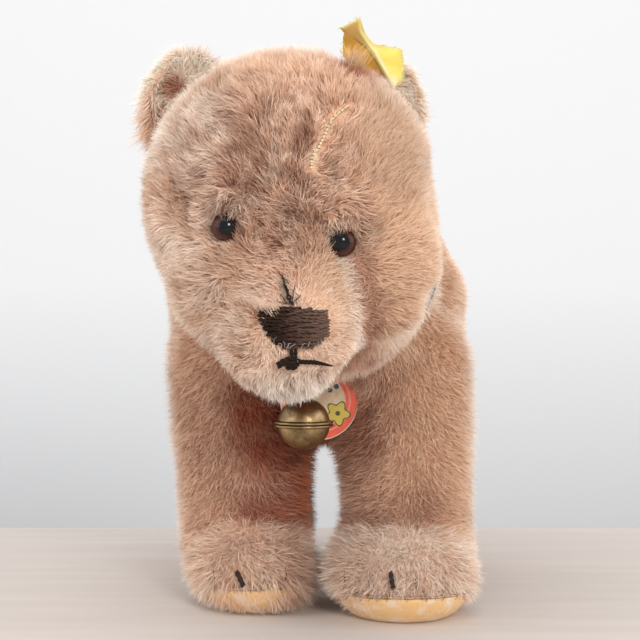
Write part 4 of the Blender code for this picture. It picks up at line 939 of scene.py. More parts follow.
def ear_fields(points, normals, side):
    """The same over an ear, pale with painted light and with painted shade in its hollow, with hair that
    hangs long at its foot, and how far its skin is sunk.
    """
    right = side == "right"
    outer = -1.0 if right else 1.0
    fine = wavering(points, 0.0035, 6)
    rel = (points - points.mean(axis=0)) / 0.012
    away = rel[:, 0] * outer
    upper = smoothstep(0.1, 0.9, 0.7 * away + 0.7 * rel[:, 2])
    lower = smoothstep(0.25, 1.0, 0.5 * away - 0.9 * rel[:, 2])
    comb = rel * np.array([1.0, 1.0, 0.6]) + np.array([0.5 * outer, 0.0, -1.0]) * (upper + lower)[:, None]
    pile = (1.10 + 0.25 * fine) * (1.0 - 0.35 * upper + (0.95 if right else 0.2) * lower)
    edge = smoothstep(0.2, 0.9, away) * smoothstep(-0.9, -0.2, rel[:, 2])
    pile *= 1.0 - (0.25 if right else 0.0) * edge
    # The hollow of the ear: shorter pile, and painted shade in the reddish and shade fields.
    cup = ovals(points, EAR_CUPS[side]) * smoothstep(0.0, 0.4, -normals[:, 1])
    worn = blob(points, *EAR_WORN)
    pile = pile * (1.0 - 0.45 * cup) * (1.0 - 0.35 * worn)
    # Painted light on the ear's front and upper part; the pale below spares the hollow and the ear's foot
    # too.
    painted_light = (1.0 - cup) * (1.0 if right else 0.85) * smoothstep(0.6, -0.2, normals[:, 1])
    painted_light *= smoothstep(-0.75, -0.15, rel[:, 2])
    pale = (1.0 - cup) * np.clip(0.30 + 0.5 * fine, 0.0, 1.0) * smoothstep(-0.9, -0.3, rel[:, 2])
    depth = 0.0012 + 0.0014 * upper + 0.0026 * smoothstep(0.3, 1.0, away) * right + 0.0014 * worn
    return {"comb": turned_comb(tangent(comb, normals), normals, 0.8 * fine), "pile": pile,
            "thick": 1.0, "lie": 0.66 + 0.16 * upper - 0.2 * cup, "tousle": 1.1, "tuft": 2.0,
            "wear": (0.2 if right else 1.0) * (1.0 - cup), "ruddy_and_shade": 0.85 * cup, "deep_shade": 0.0,
            "painted_light": painted_light, "pale": pale, "shade": 0.10 * cup, "mottle": 0.08}, depth


def sink_skin(mesh, depth):
    """Move a skin inwards by a depth given for each vertex."""
    moved = coordinates(mesh) - vertex_normals(mesh) * depth[:, None]
    mesh.vertices.foreach_set("co", moved.ravel())
    mesh.update()


def keep_fields(mesh, fields):
    """Keep the fields on a skin; a single number stands for all of its vertices."""
    level = np.zeros(len(mesh.vertices))
    for name, values in fields.items():
        store(mesh, name, values if np.ndim(values) else level + values)


class BEAR_OT_plush(bpy.types.Operator):
    """Make the plush of head, body and ears, with its pile"""

    bl_idname = "bear.plush"
    bl_label = "Plush and pile"

    def execute(self, context):
        plush = context.scene.bear_plush
        cord = cord_places()
        tree = hair_tree()
        thread_tree()
        backing = mohair_finish(plush, "mohair_backing", True)
        hair = mohair_finish(plush, "mohair_hair", False)
        self.head(plush, tree, backing, hair)
        self.body(plush, tree, backing, hair, cord)
        self.ears(plush, tree, backing, hair)
        return {"FINISHED"}

    def finish(self, skin, nodes, backing):
        skin.data.materials.clear()
        skin.data.materials.append(backing)
        skin.data.shade_smooth()
        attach(skin, "bear")
        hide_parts(*nodes)

    def plant(self, name, skin, tree, plush, hair, mask, **changes):
        """Hair over the part of a skin that the mask leaves."""
        density, along, seed = HAIRS[name]
        bed = skin.data.copy()
        thick = np.empty(len(bed.vertices))
        bed.attributes["thick"].data.foreach_get("value", thick)
        bed.attributes["thick"].data.foreach_set("value", thick * mask)
        values = {"Density": density, "Width": plush.width, "Length": plush.length, "Pieces Along": along,
                  "Bend": 0.34 if along > 1 else 0.0, "Lock Size": plush.lock, "Gather": 0.22,
                  "Stray": 0.30, "Seed": seed, "Finish": hair, **changes}
        made = grow(name, bed, tree, values)
        for left in ("thick", "pile", "lie", "comb", "tousle", "tuft"):
            if left in made.data.attributes:
                made.data.attributes.remove(made.data.attributes[left])
        places = coordinates(made.data)
        places[:, 2] = np.maximum(places[:, 2], FLOOR_GAP)
        made.data.vertices.foreach_set("co", places.ravel())
        give_hair_uv(made.data, along)
        made.data.shade_smooth()
        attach(made, "bear")
        return made

    def head(self, plush, tree, backing, hair):
        mesh = remeshed("head_plush", merged_copy("head"), *SKINS["head"])
        points = coordinates(mesh)
        depth = np.full(len(points), plush.sink)
        depth *= 1.0 - 0.90 * near(points, NOSE + (0.0, 0.003, 0.0), 0.0125, 0.6)
        depth *= 1.0 - 0.80 * near(points, MOUTH, 0.009, 0.5)
        for eye in EYES.values():
            depth *= 1.0 - 0.70 * near(points, eye, 0.008, 0.5)
        depth *= 0.45 + 0.55 * smoothstep(0.0010, 0.0040, from_line(points, SEAM_PLACES))
        for much, *oval in HEAD_WORN:
            depth += 0.0060 * much * blob(points, *oval)
        depth += under_tag(points, 0.0010)
        sink_skin(mesh, depth)
        points, normals = coordinates(mesh), vertex_normals(mesh)
        on = head_regions(points)
        keep_fields(mesh, head_pile(points, normals, on) | head_colours(points, normals, on))
        skin = link("head_plush", mesh)
        self.finish(skin, ["head"], backing)
        seen = 0.45 + 0.55 * smoothstep(-0.035, -0.060, points[:, 1])
        left = smoothstep(SKULL[0] - SPLIT, SKULL[0] + SPLIT, points[:, 0])
        shorter = {"Length": plush.length * UNDERFUR}
        self.plant("head_pile", skin, tree, plush, hair, seen, **shorter)
        self.plant("head_locks_left", skin, tree, plush, hair, seen * left)
        self.plant("head_locks_right", skin, tree, plush, hair, seen * (1.0 - left))

    def body(self, plush, tree, backing, hair, cord):
        mesh = remeshed("body_plush", merged_copy("body"), *SKINS["body"])
        points = coordinates(mesh)
        depth = np.full(len(points), plush.sink)
        depth *= 0.15 + 0.85 * smoothstep(0.006, 0.014, points[:, 2])
        depth *= 0.60 + 0.40 * smoothstep(0.0010, 0.0040, nearest(points, cord))
        depth += 0.0022 * smoothstep(0.088, 0.104, points[:, 2]) * smoothstep(0.024, 0.034, points[:, 0])
        sink_skin(mesh, depth)
        points, normals = coordinates(mesh), vertex_normals(mesh)
        on = body_regions(points)
        pile = body_pile(points, normals, on, nearest(points, cord))
        keep_fields(mesh, pile | body_colours(points, normals, on))
        skin = link("body_plush", mesh)
        self.finish(skin, ["body"], backing)
        front = smoothstep(0.030, 0.026, points[:, 1])
        left = smoothstep(-SPLIT, SPLIT, points[:, 0])
        shorter, wider = {"Length": plush.length * UNDERFUR}, {"Width": plush.width * BACK_HAIR}
        self.plant("front_pile", skin, tree, plush, hair, front, **shorter)
        self.plant("front_locks_left", skin, tree, plush, hair, front * left)
        self.plant("front_locks_right", skin, tree, plush, hair, front * (1.0 - left))
        self.plant("back_pile", skin, tree, plush, hair, 1.0 - front, **wider)

    def ears(self, plush, tree, backing, hair):
        for side in SIDES:
            name = "ear_" + side
            mesh = remeshed(name + "_plush", merged_copy(name), *SKINS["ear"])
            fields, depth = ear_fields(coordinates(mesh), vertex_normals(mesh), side)
            sink_skin(mesh, depth)
            keep_fields(mesh, fields)
            skin = link(name + "_plush", mesh)
            self.finish(skin, [name], backing)
            self.plant(name + "_pile", skin, tree, plush, hair, 1.0)


def subdivided(name, source, levels=2):
    """A finer, rounder copy of a closed mesh."""
    blank = link(name + "_blank", source)
    finer = blank.modifiers.new("finer", "SUBSURF")
    finer.levels = levels
    finer.render_levels = levels
    made = evaluated(blank)
    bpy.data.objects.remove(blank)
    return made


def smooth_line(points, count):
    """Even steps on a smooth line through a few places."""
    points = np.asarray(points, dtype=float)
    ends = np.vstack([2.0 * points[0] - points[1], points, 2.0 * points[-1] - points[-2]])
    share = np.linspace(0.0, len(points) - 1.0, count)
    first = np.minimum(share.astype(int), len(points) - 2)
    t = (share - first)[:, None]
    a, b, c, d = (ends[first + step] for step in range(4))
    curve = 2 * b + (c - a) * t + (2 * a - 5 * b + 4 * c - d) * t ** 2
    return 0.5 * (curve + (3 * b - a - 3 * c + d) * t ** 3)


def paths_mesh(name, paths, closed=False):
    """A mesh with one run of edges for each path."""
    points, edges = [], []
    for path in paths:
        first = len(points)
        points.extend(tuple(map(float, place)) for place in path)
        edges.extend((first + step, first + step + 1) for step in range(len(path) - 1))
        if closed:
            edges.append((first + len(path) - 1, first))
    mesh = bpy.data.meshes.new(name)
    mesh.from_pydata(points, edges, [])
    return mesh


def seen_at(tree, across, height):
    """The place and normal that a level line from the front meets."""
    place, normal, _, _ = tree.ray_cast(Vector((across, -0.3, height)), Vector((0.0, 1.0, 0.0)))
    return (None, None) if place is None else (np.array(place), np.array(normal))


def drawn_on(tree, spots, rise, count=14):
    """A line drawn on a surface as the front view shows it, from (across, height) spots."""
    flat = smooth_line([(x, 0.0, z) for x, z in spots], count)
    path = []
    for x, _, z in flat:
        place, normal = seen_at(tree, x, z)
        if place is not None:
            path.append(place + normal * rise)
    return path


def turned(name, profile, centre, steps=96):
    """A body turned about the vertical from its outline of (radius, height) points."""
    work = bmesh.new()
    spots = [work.verts.new((radius, 0.0, height)) for radius, height in profile]
    edges = [work.edges.new(pair) for pair in zip(spots, spots[1:])]
    bmesh.ops.spin(work, geom=spots + edges, cent=(0.0, 0.0, 0.0), axis=(0.0, 0.0, 1.0),
                   angle=TURN, steps=steps, use_merge=True)
    bmesh.ops.remove_doubles(work, verts=work.verts, dist=1e-7)
    bmesh.ops.recalc_face_normals(work, faces=work.faces)
    bmesh.ops.translate(work, verts=work.verts, vec=centre)
    mesh = bpy.data.meshes.new(name)
    work.to_mesh(mesh)
    work.free()
    mesh.shade_smooth()
    mesh.set_sharp_from_angle(angle=SHARP)
    return mesh


def settle(piece, finish, body, slot, *nodes):
    """Give a piece its finish and its body, and hide the nodes that it replaces; the slot is not used."""
    piece.data.materials.clear()
    piece.data.materials.append(finish)
    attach(piece, body)
    if nodes:
        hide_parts(*nodes)
    return piece


def thread(name, paths, finish, slot, *nodes, closed=False, **sizes):
    """A piece of thread along its paths; the sizes are the inputs of the thread tree."""
    values = {"Finish": finish, **{key.title(): value for key, value in sizes.items()}}
    piece = grow(name, paths_mesh(name + "_paths", paths, closed), bpy.data.node_groups[THREAD_TREE], values)
    return settle(piece, finish, "bear", slot, *nodes)


def thread_finish(name, colour, rough=0.55, sheen=0.2, contrast=1.0, lit=None):
    """Thread streaked along its fibres; lit is the range across over which a painted highlight makes it
    paler.
    """
    made, tree, shader = principled(name, roughness=rough, Sheen_Weight=sheen,
                                    Specular_IOR_Level=0.3 if lit is None else 0.12)
    fibres = noise(tree, 2600.0, 3.0, 0.7)
    patch = noise(tree, 160.0, 2.0)
    spread = maths(tree, "MULTIPLY_ADD", patch, 0.5, maths(tree, "MULTIPLY", fibres, 0.5))
    dark = times(colour, max(0.3, 1.0 - 0.40 * contrast))
    light = tuple(min(1.0, value * (1.0 + 0.55 * contrast) + 0.002) for value in colour[:3])
    base = ramp(tree, spread, (0.30, dark), (0.70, light))
    if lit:
        across = add(tree, "ShaderNodeSeparateXYZ", {0: place_of(tree)}).outputs["X"]
        streaks = add(tree, "ShaderNodeMapping",
                      {"Vector": place_of(tree), "Scale": (1.0, 1.0, 2.6)}).outputs[0]
        # Painted highlight: paler in streaks towards the high end of the range.
        rubbed = maths(tree, "MULTIPLY_ADD", noise(tree, 620.0, 3.0, 0.65, streaks), 0.016, across)
        share = add(tree, "ShaderNodeMapRange", {"Value": rubbed, "From Min": lit[0], "From Max": lit[1],
                                                 "To Min": 0.0, "To Max": 0.75}).outputs[0]
        base = mixed(tree, share, base, (0.215, 0.130, 0.098, 1.0))
    plug(tree, shader.inputs["Base Color"], base)
    bump(tree, shader, fibres, 0.00012)
    return made


def glass_finish(side, centre, gaze):
    """Brown glass with a black pupil, clear and polished."""
    made, tree, shader = principled("glass_" + side, roughness=0.04, Specular_IOR_Level=0.30)
    centred = add(tree, "ShaderNodeMapping", {"Vector": place_of(tree), "Location": tuple(-centre)},
                  vector_type="POINT").outputs[0]
    ahead = vector_maths(tree, "DOT_PRODUCT", centred, tuple(gaze))
    aside = vector_maths(tree, "SUBTRACT", centred, vector_maths(tree, "SCALE", tuple(gaze), ahead))
    reach = add(tree, "ShaderNodeVectorMath", {0: aside}, operation="LENGTH").outputs["Value"]
    streak = noise(tree, 1400.0, 2.0, 0.5)
    level = maths(tree, "MULTIPLY_ADD", streak, 0.00012, reach)
    share = maths(tree, "DIVIDE", level, EYE_RADIUS)
    colour = ramp(tree, share, (0.0, (0.003, 0.004, 0.005)), (0.55, (0.003, 0.003, 0.003)),
                  (0.60, (0.030, 0.008, 0.006)), (0.80, (0.070, 0.019, 0.012)), (0.95, (0.024, 0.007, 0.005)))
    plug(tree, shader.inputs["Base Color"], colour)
    return made


def felt_finish(colour):
    """Felt: matted fibres, bright where it is whole and pale where it is rubbed."""
    made, tree, shader = principled("felt_finish", roughness=0.95, Sheen_Weight=0.3)
    fibres = noise(tree, 1500.0, 5.0, 0.75)
    patch = noise(tree, 170.0, 4.0, 0.6)
    rubbed = ramp(tree, patch, (0.48, grey(0.0)), (0.66, grey(1.0)))
    whole = ramp(tree, fibres, (0.30, times(colour, 0.90)), (0.70, tuple(colour[:3])))
    worn = ramp(tree, fibres, (0.30, (0.95, 0.72, 0.54)), (0.70, (1.00, 0.88, 0.76)))
    plug(tree, shader.inputs["Base Color"], mixed(tree, maths(tree, "MULTIPLY", rubbed, 0.85), whole, worn))
    bump(tree, shader, fibres, 0.0004)
    return made


def brass_finish(colour):
    """Old brass: brown and green tarnish over a dull shine, rubbed bright in places."""
    made, tree, shader = principled("brass_finish", roughness=0.3, Metallic=1.0)
    patch = noise(tree, 260.0, 4.0, 0.6)
    fine = noise(tree, 2400.0, 3.0, 0.6)
    spread = maths(tree, "MULTIPLY_ADD", fine, 0.25, maths(tree, "MULTIPLY", patch, 0.80))
    base = ramp(tree, spread, (0.30, (0.105, 0.068, 0.035)), (0.48, times(colour, 0.62)),
                (0.66, tuple(colour[:3])))
    plug(tree, shader.inputs["Base Color"], base)
    plug(tree, shader.inputs["Roughness"], ramp(tree, spread, (0.30, grey(0.52)), (0.70, grey(0.22))))
    bump(tree, shader, fine, 0.00004)
    return made


def steel_finish():
    """Dull drawn steel with some rust."""
    made, tree, shader = principled("steel_finish", roughness=0.4, Metallic=1.0)
    spots = noise(tree, 900.0, 4.0, 0.6)
    base = ramp(tree, spots, (0.45, (0.42, 0.41, 0.40)), (0.65, (0.22, 0.13, 0.08)))
    plug(tree, shader.inputs["Base Color"], base)
    plug(tree, shader.inputs["Roughness"], ramp(tree, spots, (0.45, grey(0.35)), (0.65, grey(0.8))))
    return made


def card_finish(colour, centre):
    """Printed card: a ring in colour, a cream field with a small flower and two berries."""
    made, tree, shader = principled("card_finish", roughness=0.45)

    def spot(across, up):
        place = (-(centre[0] + across), 0.0, -(centre[2] + up))
        moved = add(tree, "ShaderNodeMapping", {"Vector": place_of(tree), "Location": place}).outputs[0]
        parts = add(tree, "ShaderNodeSeparateXYZ", {0: moved}).outputs
        flat = add(tree, "ShaderNodeCombineXYZ", {"X": parts["X"], "Y": parts["Z"]}).outputs[0]
        radius = add(tree, "ShaderNodeVectorMath", {0: flat}, operation="LENGTH").outputs["Value"]
        return radius, maths(tree, "ARCTAN2", parts["Z"], parts["X"])

    def inside(radius, edge, soft=0.00008):
        far = add(tree, "ShaderNodeMapRange",
                  {"Value": radius, "From Min": maths(tree, "SUBTRACT", edge, soft),
                   "From Max": maths(tree, "ADD", edge, soft), "To Min": 1.0, "To Max": 0.0})
        return far.outputs[0]

    rim, _ = spot(0.0, 0.0)
    aged = noise(tree, 500.0, 4.0, 0.6)
    cream = ramp(tree, aged, (0.35, (0.74, 0.54, 0.33)), (0.65, (0.88, 0.72, 0.50)))
    ink = ramp(tree, aged, (0.30, times(colour, 0.82)), (0.70, tuple(colour[:3])))
    painted = (0.80, 0.74, 0.64, 1.0)
    for edge, paint in ((0.0107, ink), (0.0088, (0.86, 0.42, 0.33, 1.0)), (0.0085, ink), (0.0074, cream)):
        painted = mixed(tree, inside(rim, edge), painted, paint)
    petals, turn = spot(*CARD_FLOWER)
    wave = maths(tree, "COSINE", maths(tree, "MULTIPLY_ADD", turn, 5.0, 0.7))
    edge = maths(tree, "MULTIPLY_ADD", wave, 0.00060, 0.00275)
    leaves = maths(tree, "ADD", edge, 0.00038)
    painted = mixed(tree, inside(petals, leaves), painted, (0.045, 0.085, 0.040, 1.0))
    painted = mixed(tree, inside(petals, edge), painted, (0.70, 0.56, 0.10, 1.0))
    painted = mixed(tree, inside(petals, 0.00068), painted, (0.10, 0.07, 0.03, 1.0))
    for across, up in CARD_BERRIES:
        berry, _ = spot(across, up)
        painted = mixed(tree, inside(berry, 0.00075), painted, (0.035, 0.085, 0.160, 1.0))
    plug(tree, shader.inputs["Base Color"], painted)
    plug(tree, shader.inputs["Roughness"], ramp(tree, aged, (0.35, grey(0.38)), (0.70, grey(0.62))))
    bump(tree, shader, aged, 0.00006)
    return made


def ribbon_finish(colour):
    """Woven cotton: a fine weave, with a painted highlight along the fold and painted shade on the inner leaf
    near the ear and inside the curl.
    """
    made, tree, shader = principled("ribbon_finish", roughness=0.85, Sheen_Weight=0.3)
    spot = add(tree, "ShaderNodeUVMap", uv_map="OFBake").outputs[0]
    parts = add(tree, "ShaderNodeSeparateXYZ", {0: spot}).outputs
    warp = maths(tree, "SINE", maths(tree, "MULTIPLY", parts["X"], TURN * 46.0))
    weft = maths(tree, "SINE", maths(tree, "MULTIPLY", parts["Y"], TURN * 62.0))
    weave = maths(tree, "MULTIPLY_ADD", maths(tree, "MULTIPLY", warp, weft), 0.5, 0.5)
    patch = noise(tree, 300.0, 3.0, 0.6)
    woven = maths(tree, "MULTIPLY_ADD", weave, 0.35, maths(tree, "MULTIPLY", patch, 0.65))
    base = ramp(tree, woven, (0.25, (colour[0] * 0.86, colour[1] * 0.74, colour[2] * 0.5)),
                (0.65, tuple(colour[:3])))
    # Painted highlight along the fold, painted shade on the inner leaf and inside the curl, and a dark line.
    for field, paint in (("fold_highlight", (0.98, 0.90, 0.56, 1.0)), ("inner_leaf_shade", (1.00, 0.54, 0.03, 1.0)),
                         ("curl_shade", (0.72, 0.42, 0.11, 1.0)), ("line", (0.25, 0.11, 0.02, 1.0))):
        base = mixed(tree, attribute(tree, field), base, paint)
    plug(tree, shader.inputs["Base Color"], base)
    bump(tree, shader, maths(tree, "MULTIPLY_ADD", patch, 0.6, weave), 0.00012)
    return made


class BEAR_OT_face(bpy.types.Operator):
    """Make the eyes, the stitched nose and mouth, and the seam of the forehead"""

    bl_idname = "bear.face"
    bl_label = "Face"

    def execute(self, context):
        trim = context.scene.bear_trim
        head = tree_of(merged_copy("head"))
        self.eyes()
        self.nose(trim, head)
        self.mouth(trim, head)
        self.seam(head)
        return {"FINISHED"}

    def eyes(self):
        for side, facing in EYE_FACING.items():
            mesh = subdivided("eye_glass_" + side, merged_copy("eye_" + side), 2)
            mesh.shade_smooth()
            finish = glass_finish(side, EYES[side], Vector(facing).normalized())
            settle(link("eye_glass_" + side, mesh), finish, "bear", "glass", "eye_" + side)

    def nose(self, trim, head):
        # The nose's thread carries a painted highlight towards the bear's left.
        finish = thread_finish("nose_thread", times(trim.thread, 0.62), 0.55, 0.0, 2.2, NOSE_LIT)
        ground = remeshed("nose_ground", merged_copy("nose"), *SKINS["nose"])
        surface = tree_of(ground)
        sink_skin(ground, np.full(len(ground.vertices), 0.00035))
        settle(link("nose_ground", ground), finish, "bear", "thread", "nose")
        chance = np.random.default_rng(5)
        thread("nose_rows", self.rows(surface, head, chance), finish, "thread",
               radius=0.00041, plies=2, twist=0.0030, step=0.0004)
        black = thread_finish("nose_end_finish", times(trim.thread, 0.5), 0.9, 0.0)
        for name, lines, radius in (("nose_ends", NOSE_WISPS, 0.00042), ("nose_hairs", NOSE_HAIRS, 0.00020)):
            ends = [drawn_on(head, spots, 0.0008) for spots in lines]
            thread(name, ends, black, "thread", radius=radius, plies=1, twist=0.0020, step=0.0004)
        curls, overlap = self.wisps(head, chance)
        wool = thread_finish("nose_wool_finish", (0.60, 0.58, 0.58), 0.8, 0.3)
        thread("nose_wool", curls, wool, "mohair", radius=0.00005, plies=1, twist=0.0020, step=0.0002)
        fur = thread_finish("nose_fur_finish", (0.54, 0.37, 0.275), 0.8, 0.3)
        thread("nose_fur", overlap, fur, "mohair", radius=0.00008, plies=1, twist=0.0020, step=0.0008)

    def rows(self, surface, head, chance):
        """The nose's rows of thread, from its top down, running on to its worn edge."""
        low, high = corners_of("nose")
        rows = []
        height = high[2] + 0.0012
        while height > low[2] - 0.0012:
            phase = chance.uniform(0.0, 6.0)
            row = []
            for across in np.arange(low[0] - 0.001, high[0] + 0.001, NOSE_STEP):
                wave = 0.00026 * math.sin(across / 0.0014 + phase)
                place, normal = seen_at(surface, across, height + NOSE_SLANT * (across - NOSE[0]) + wave)
                if place is not None:
                    row.append(place + normal * 0.00002)
            if len(row) > 3:
                edge = float(np.interp(height, *zip(*NOSE_RIGHT)))
                if height < NOSE_RIGHT[-1][0]:
                    for across in np.arange(row[-1][0] + NOSE_STEP, edge, NOSE_STEP):
                        place, normal = seen_at(head, across, height + NOSE_SLANT * (across - NOSE[0]))
                        row.append(place + normal * 0.0008)
                reach = chance.uniform(0.0001, 0.0004, 2)
                row.insert(0, row[0] + (-reach[0], 0.0009, 0.0))
                row.append(row[-1] + (reach[1], 0.0009, 0.0))
                rows.append(row)
            height -= NOSE_ROW * chance.uniform(0.9, 1.1)
        return rows

    def wisps(self, head, chance):
        """Curls of wool along the nose's hem, and hairs of the muzzle over its worn corner."""
        hem = smooth_line([(x, 0.0, z) for x, z in NOSE_HEM], 34)
        curls, overlap = [], []
        for x, _, z in hem[chance.random(len(hem)) < 0.55]:
            turn = chance.uniform(-1.4, 1.4)
            long = chance.uniform(0.0005, 0.0015)
            spots = [(x - 0.0002, z - 0.0004), (x + long * 0.4 * math.sin(turn), z + long * 0.5),
                     (x + long * math.sin(turn), z + long * 0.7)]
            curls.append(drawn_on(head, spots, 0.0027, 6))
        for _ in range(CORNER_HAIRS):
            x = NOSE_CORNER[0] + chance.uniform(-0.0016, 0.0034)
            z = NOSE_CORNER[2] + chance.uniform(-0.0006, 0.0009)
            long, fall = chance.uniform(0.0012, 0.0024), chance.uniform(0.35, 1.3)
            spots = [(x, z), (x + long * 0.5, z - long * 0.3 * fall), (x + long, z - long * fall)]
            overlap.append(drawn_on(head, spots, 0.0027, 6))
        return curls, overlap

    def mouth(self, trim, head):
        finish = thread_finish("mouth_thread", times(trim.thread, 0.42), 0.9, 0.0)
        stitches = [drawn_on(head, spots, 0.0007) for spots in MOUTH_STITCHES]
        thread("mouth_stitches", stitches, finish, "thread", "mouth",
               radius=0.00050, plies=2, twist=0.0026, step=0.0004)
        tail = [drawn_on(head, spots, 0.0009) for spots in MOUTH_TAIL]
        thread("mouth_tail", tail, finish, "thread", radius=0.00028, plies=2, twist=0.0020, step=0.0003)

    def seam(self, head):
        pale = thread_finish("seam_thread_finish", (0.72, 0.53, 0.30), 0.8, 0.3)
        line = drawn_on(head, SEAM_PLACES, 0.0005, 40)
        thread("forehead_seam", [line], pale, "seam", "seam_thread",
               radius=0.00034, plies=2, twist=0.0016, step=0.0004)
        dark = thread_finish("seam_stitch_finish", (0.055, 0.032, 0.022), 0.7, 0.2)
        stitches = []
        for here, following in zip(line[2:-2:2], line[3:-1:2]):
            run = (following - here) / np.linalg.norm(following - here)
            across = np.cross(run, np.array([0.0, -1.0, 0.0]))
            middle = here + (0.0, -0.00035, 0.0)
            stitches.append([middle + across * 0.00042 + run * 0.0001 + (0.0, 0.0004, 0.0), middle,
                             middle - across * 0.00042 - run * 0.0001 + (0.0, 0.0004, 0.0)])
        thread("forehead_stitches", stitches, dark, "seam", radius=0.00016, plies=1, twist=0.002, step=0.0002)


class BEAR_OT_feet(bpy.types.Operator):
    """Make the felt soles with their sewn edge, and the claws"""

    bl_idname = "bear.feet"
    bl_label = "Feet"

    def execute(self, context):
        trim = context.scene.bear_trim
        felt = felt_finish(trim.felt)
        sewn = thread_finish("sole_thread", (0.52, 0.30, 0.14), 0.8, 0.3)
        claw = thread_finish("claw_thread", times(trim.thread, 0.8), 0.5, 0.1)
        for foot in FEET:
            self.sole(foot, felt, sewn)
            self.claws(foot, claw)
        return {"FINISHED"}

    def sole(self, foot, felt, sewn):
        node = "paw_pad_" + foot
        source = merged_copy(node)
        edge = self.upper_edge(source)
        mesh = remeshed("sole_" + foot, source, *SKINS["sole"])
        mesh.shade_smooth()
        piece = settle(link("sole_" + foot, mesh), felt, "bear", "felt", node)
        rise = np.array([0.0, 0.0, 0.0011])
        stitches = [[here + rise, (here + following) / 2.0, here - rise]
                    for here, following in zip(edge, np.roll(edge, -1, axis=0))]
        thread("sole_edge_" + foot, [edge], sewn, "felt", closed=True,
               radius=0.00032, plies=2, twist=0.003, step=0.0012)
        thread("sole_stitches_" + foot, stitches, sewn, "felt",
               radius=0.00020, plies=1, twist=0.002, step=0.0008)

    def upper_edge(self, mesh):
        """The highest points round the outside of a sole, at even angles."""
        points = coordinates(mesh)
        middle = (points.min(axis=0) + points.max(axis=0)) / 2.0
        angle = np.arctan2(points[:, 1] - middle[1], points[:, 0] - middle[0])
        reach = np.hypot(points[:, 0] - middle[0], points[:, 1] - middle[1])
        score = points[:, 2] + reach * 0.6
        edge = []
        for target in np.linspace(-math.pi, math.pi, 49)[:-1]:
            apart = turn_apart(angle, target)
            close = np.argsort(apart)[:max(3, np.count_nonzero(apart < 0.16))]
            best = close[np.argsort(score[close])[-3:]]
            radius, height = reach[best].mean(), points[best, 2].mean()
            edge.append([middle[0] + math.cos(target) * radius, middle[1] + math.sin(target) * radius,
                         height])
        edge = np.array(edge)
        for _ in range(3):
            edge = (edge + np.roll(edge, 1, axis=0) + np.roll(edge, -1, axis=0)) / 3.0
        out = edge - middle
        out[:, 2] = 0.0
        out /= np.linalg.norm(out, axis=1)[:, None]
        return edge + out * 0.0001

    def claws(self, foot, finish):
        nodes = sorted(name for name in NODES if name.startswith("claw_" + foot))
        paths, faint = [], []
        for node in nodes:
            points = coordinates(merged_copy(node))
            order = np.argsort(points[:, 2])
            runs = np.array([points[part].mean(axis=0) for part in np.array_split(order, 5)])
            rise, slant, drop, share = CLAW_SET.get(node, PLAIN_CLAW)
            middle = runs.mean(axis=0)
            runs = middle + (runs - middle) * share + np.array([0.0, -rise, drop])
            runs[:, 0] -= slant * np.linspace(-0.5, 1.0, len(runs))
            if node in MAIN_CLAWS:
                paths.extend(smooth_line(runs + (aside, 0.0, aside), 9) for aside in (-0.00022, 0.00022))
            else:
                faint.append(smooth_line(runs, 9))
        main = [node for node in nodes if node in MAIN_CLAWS]
        rest = [node for node in nodes if node not in MAIN_CLAWS]
        if paths:
            thread("claws_" + foot, paths, finish, "thread", *main,
                   radius=0.00050, plies=2, twist=0.003, step=0.0005)
        if faint:
            thread("claw_ends_" + foot, faint, finish, "thread", *rest,
                   radius=0.00030, plies=1, twist=0.003, step=0.0005)


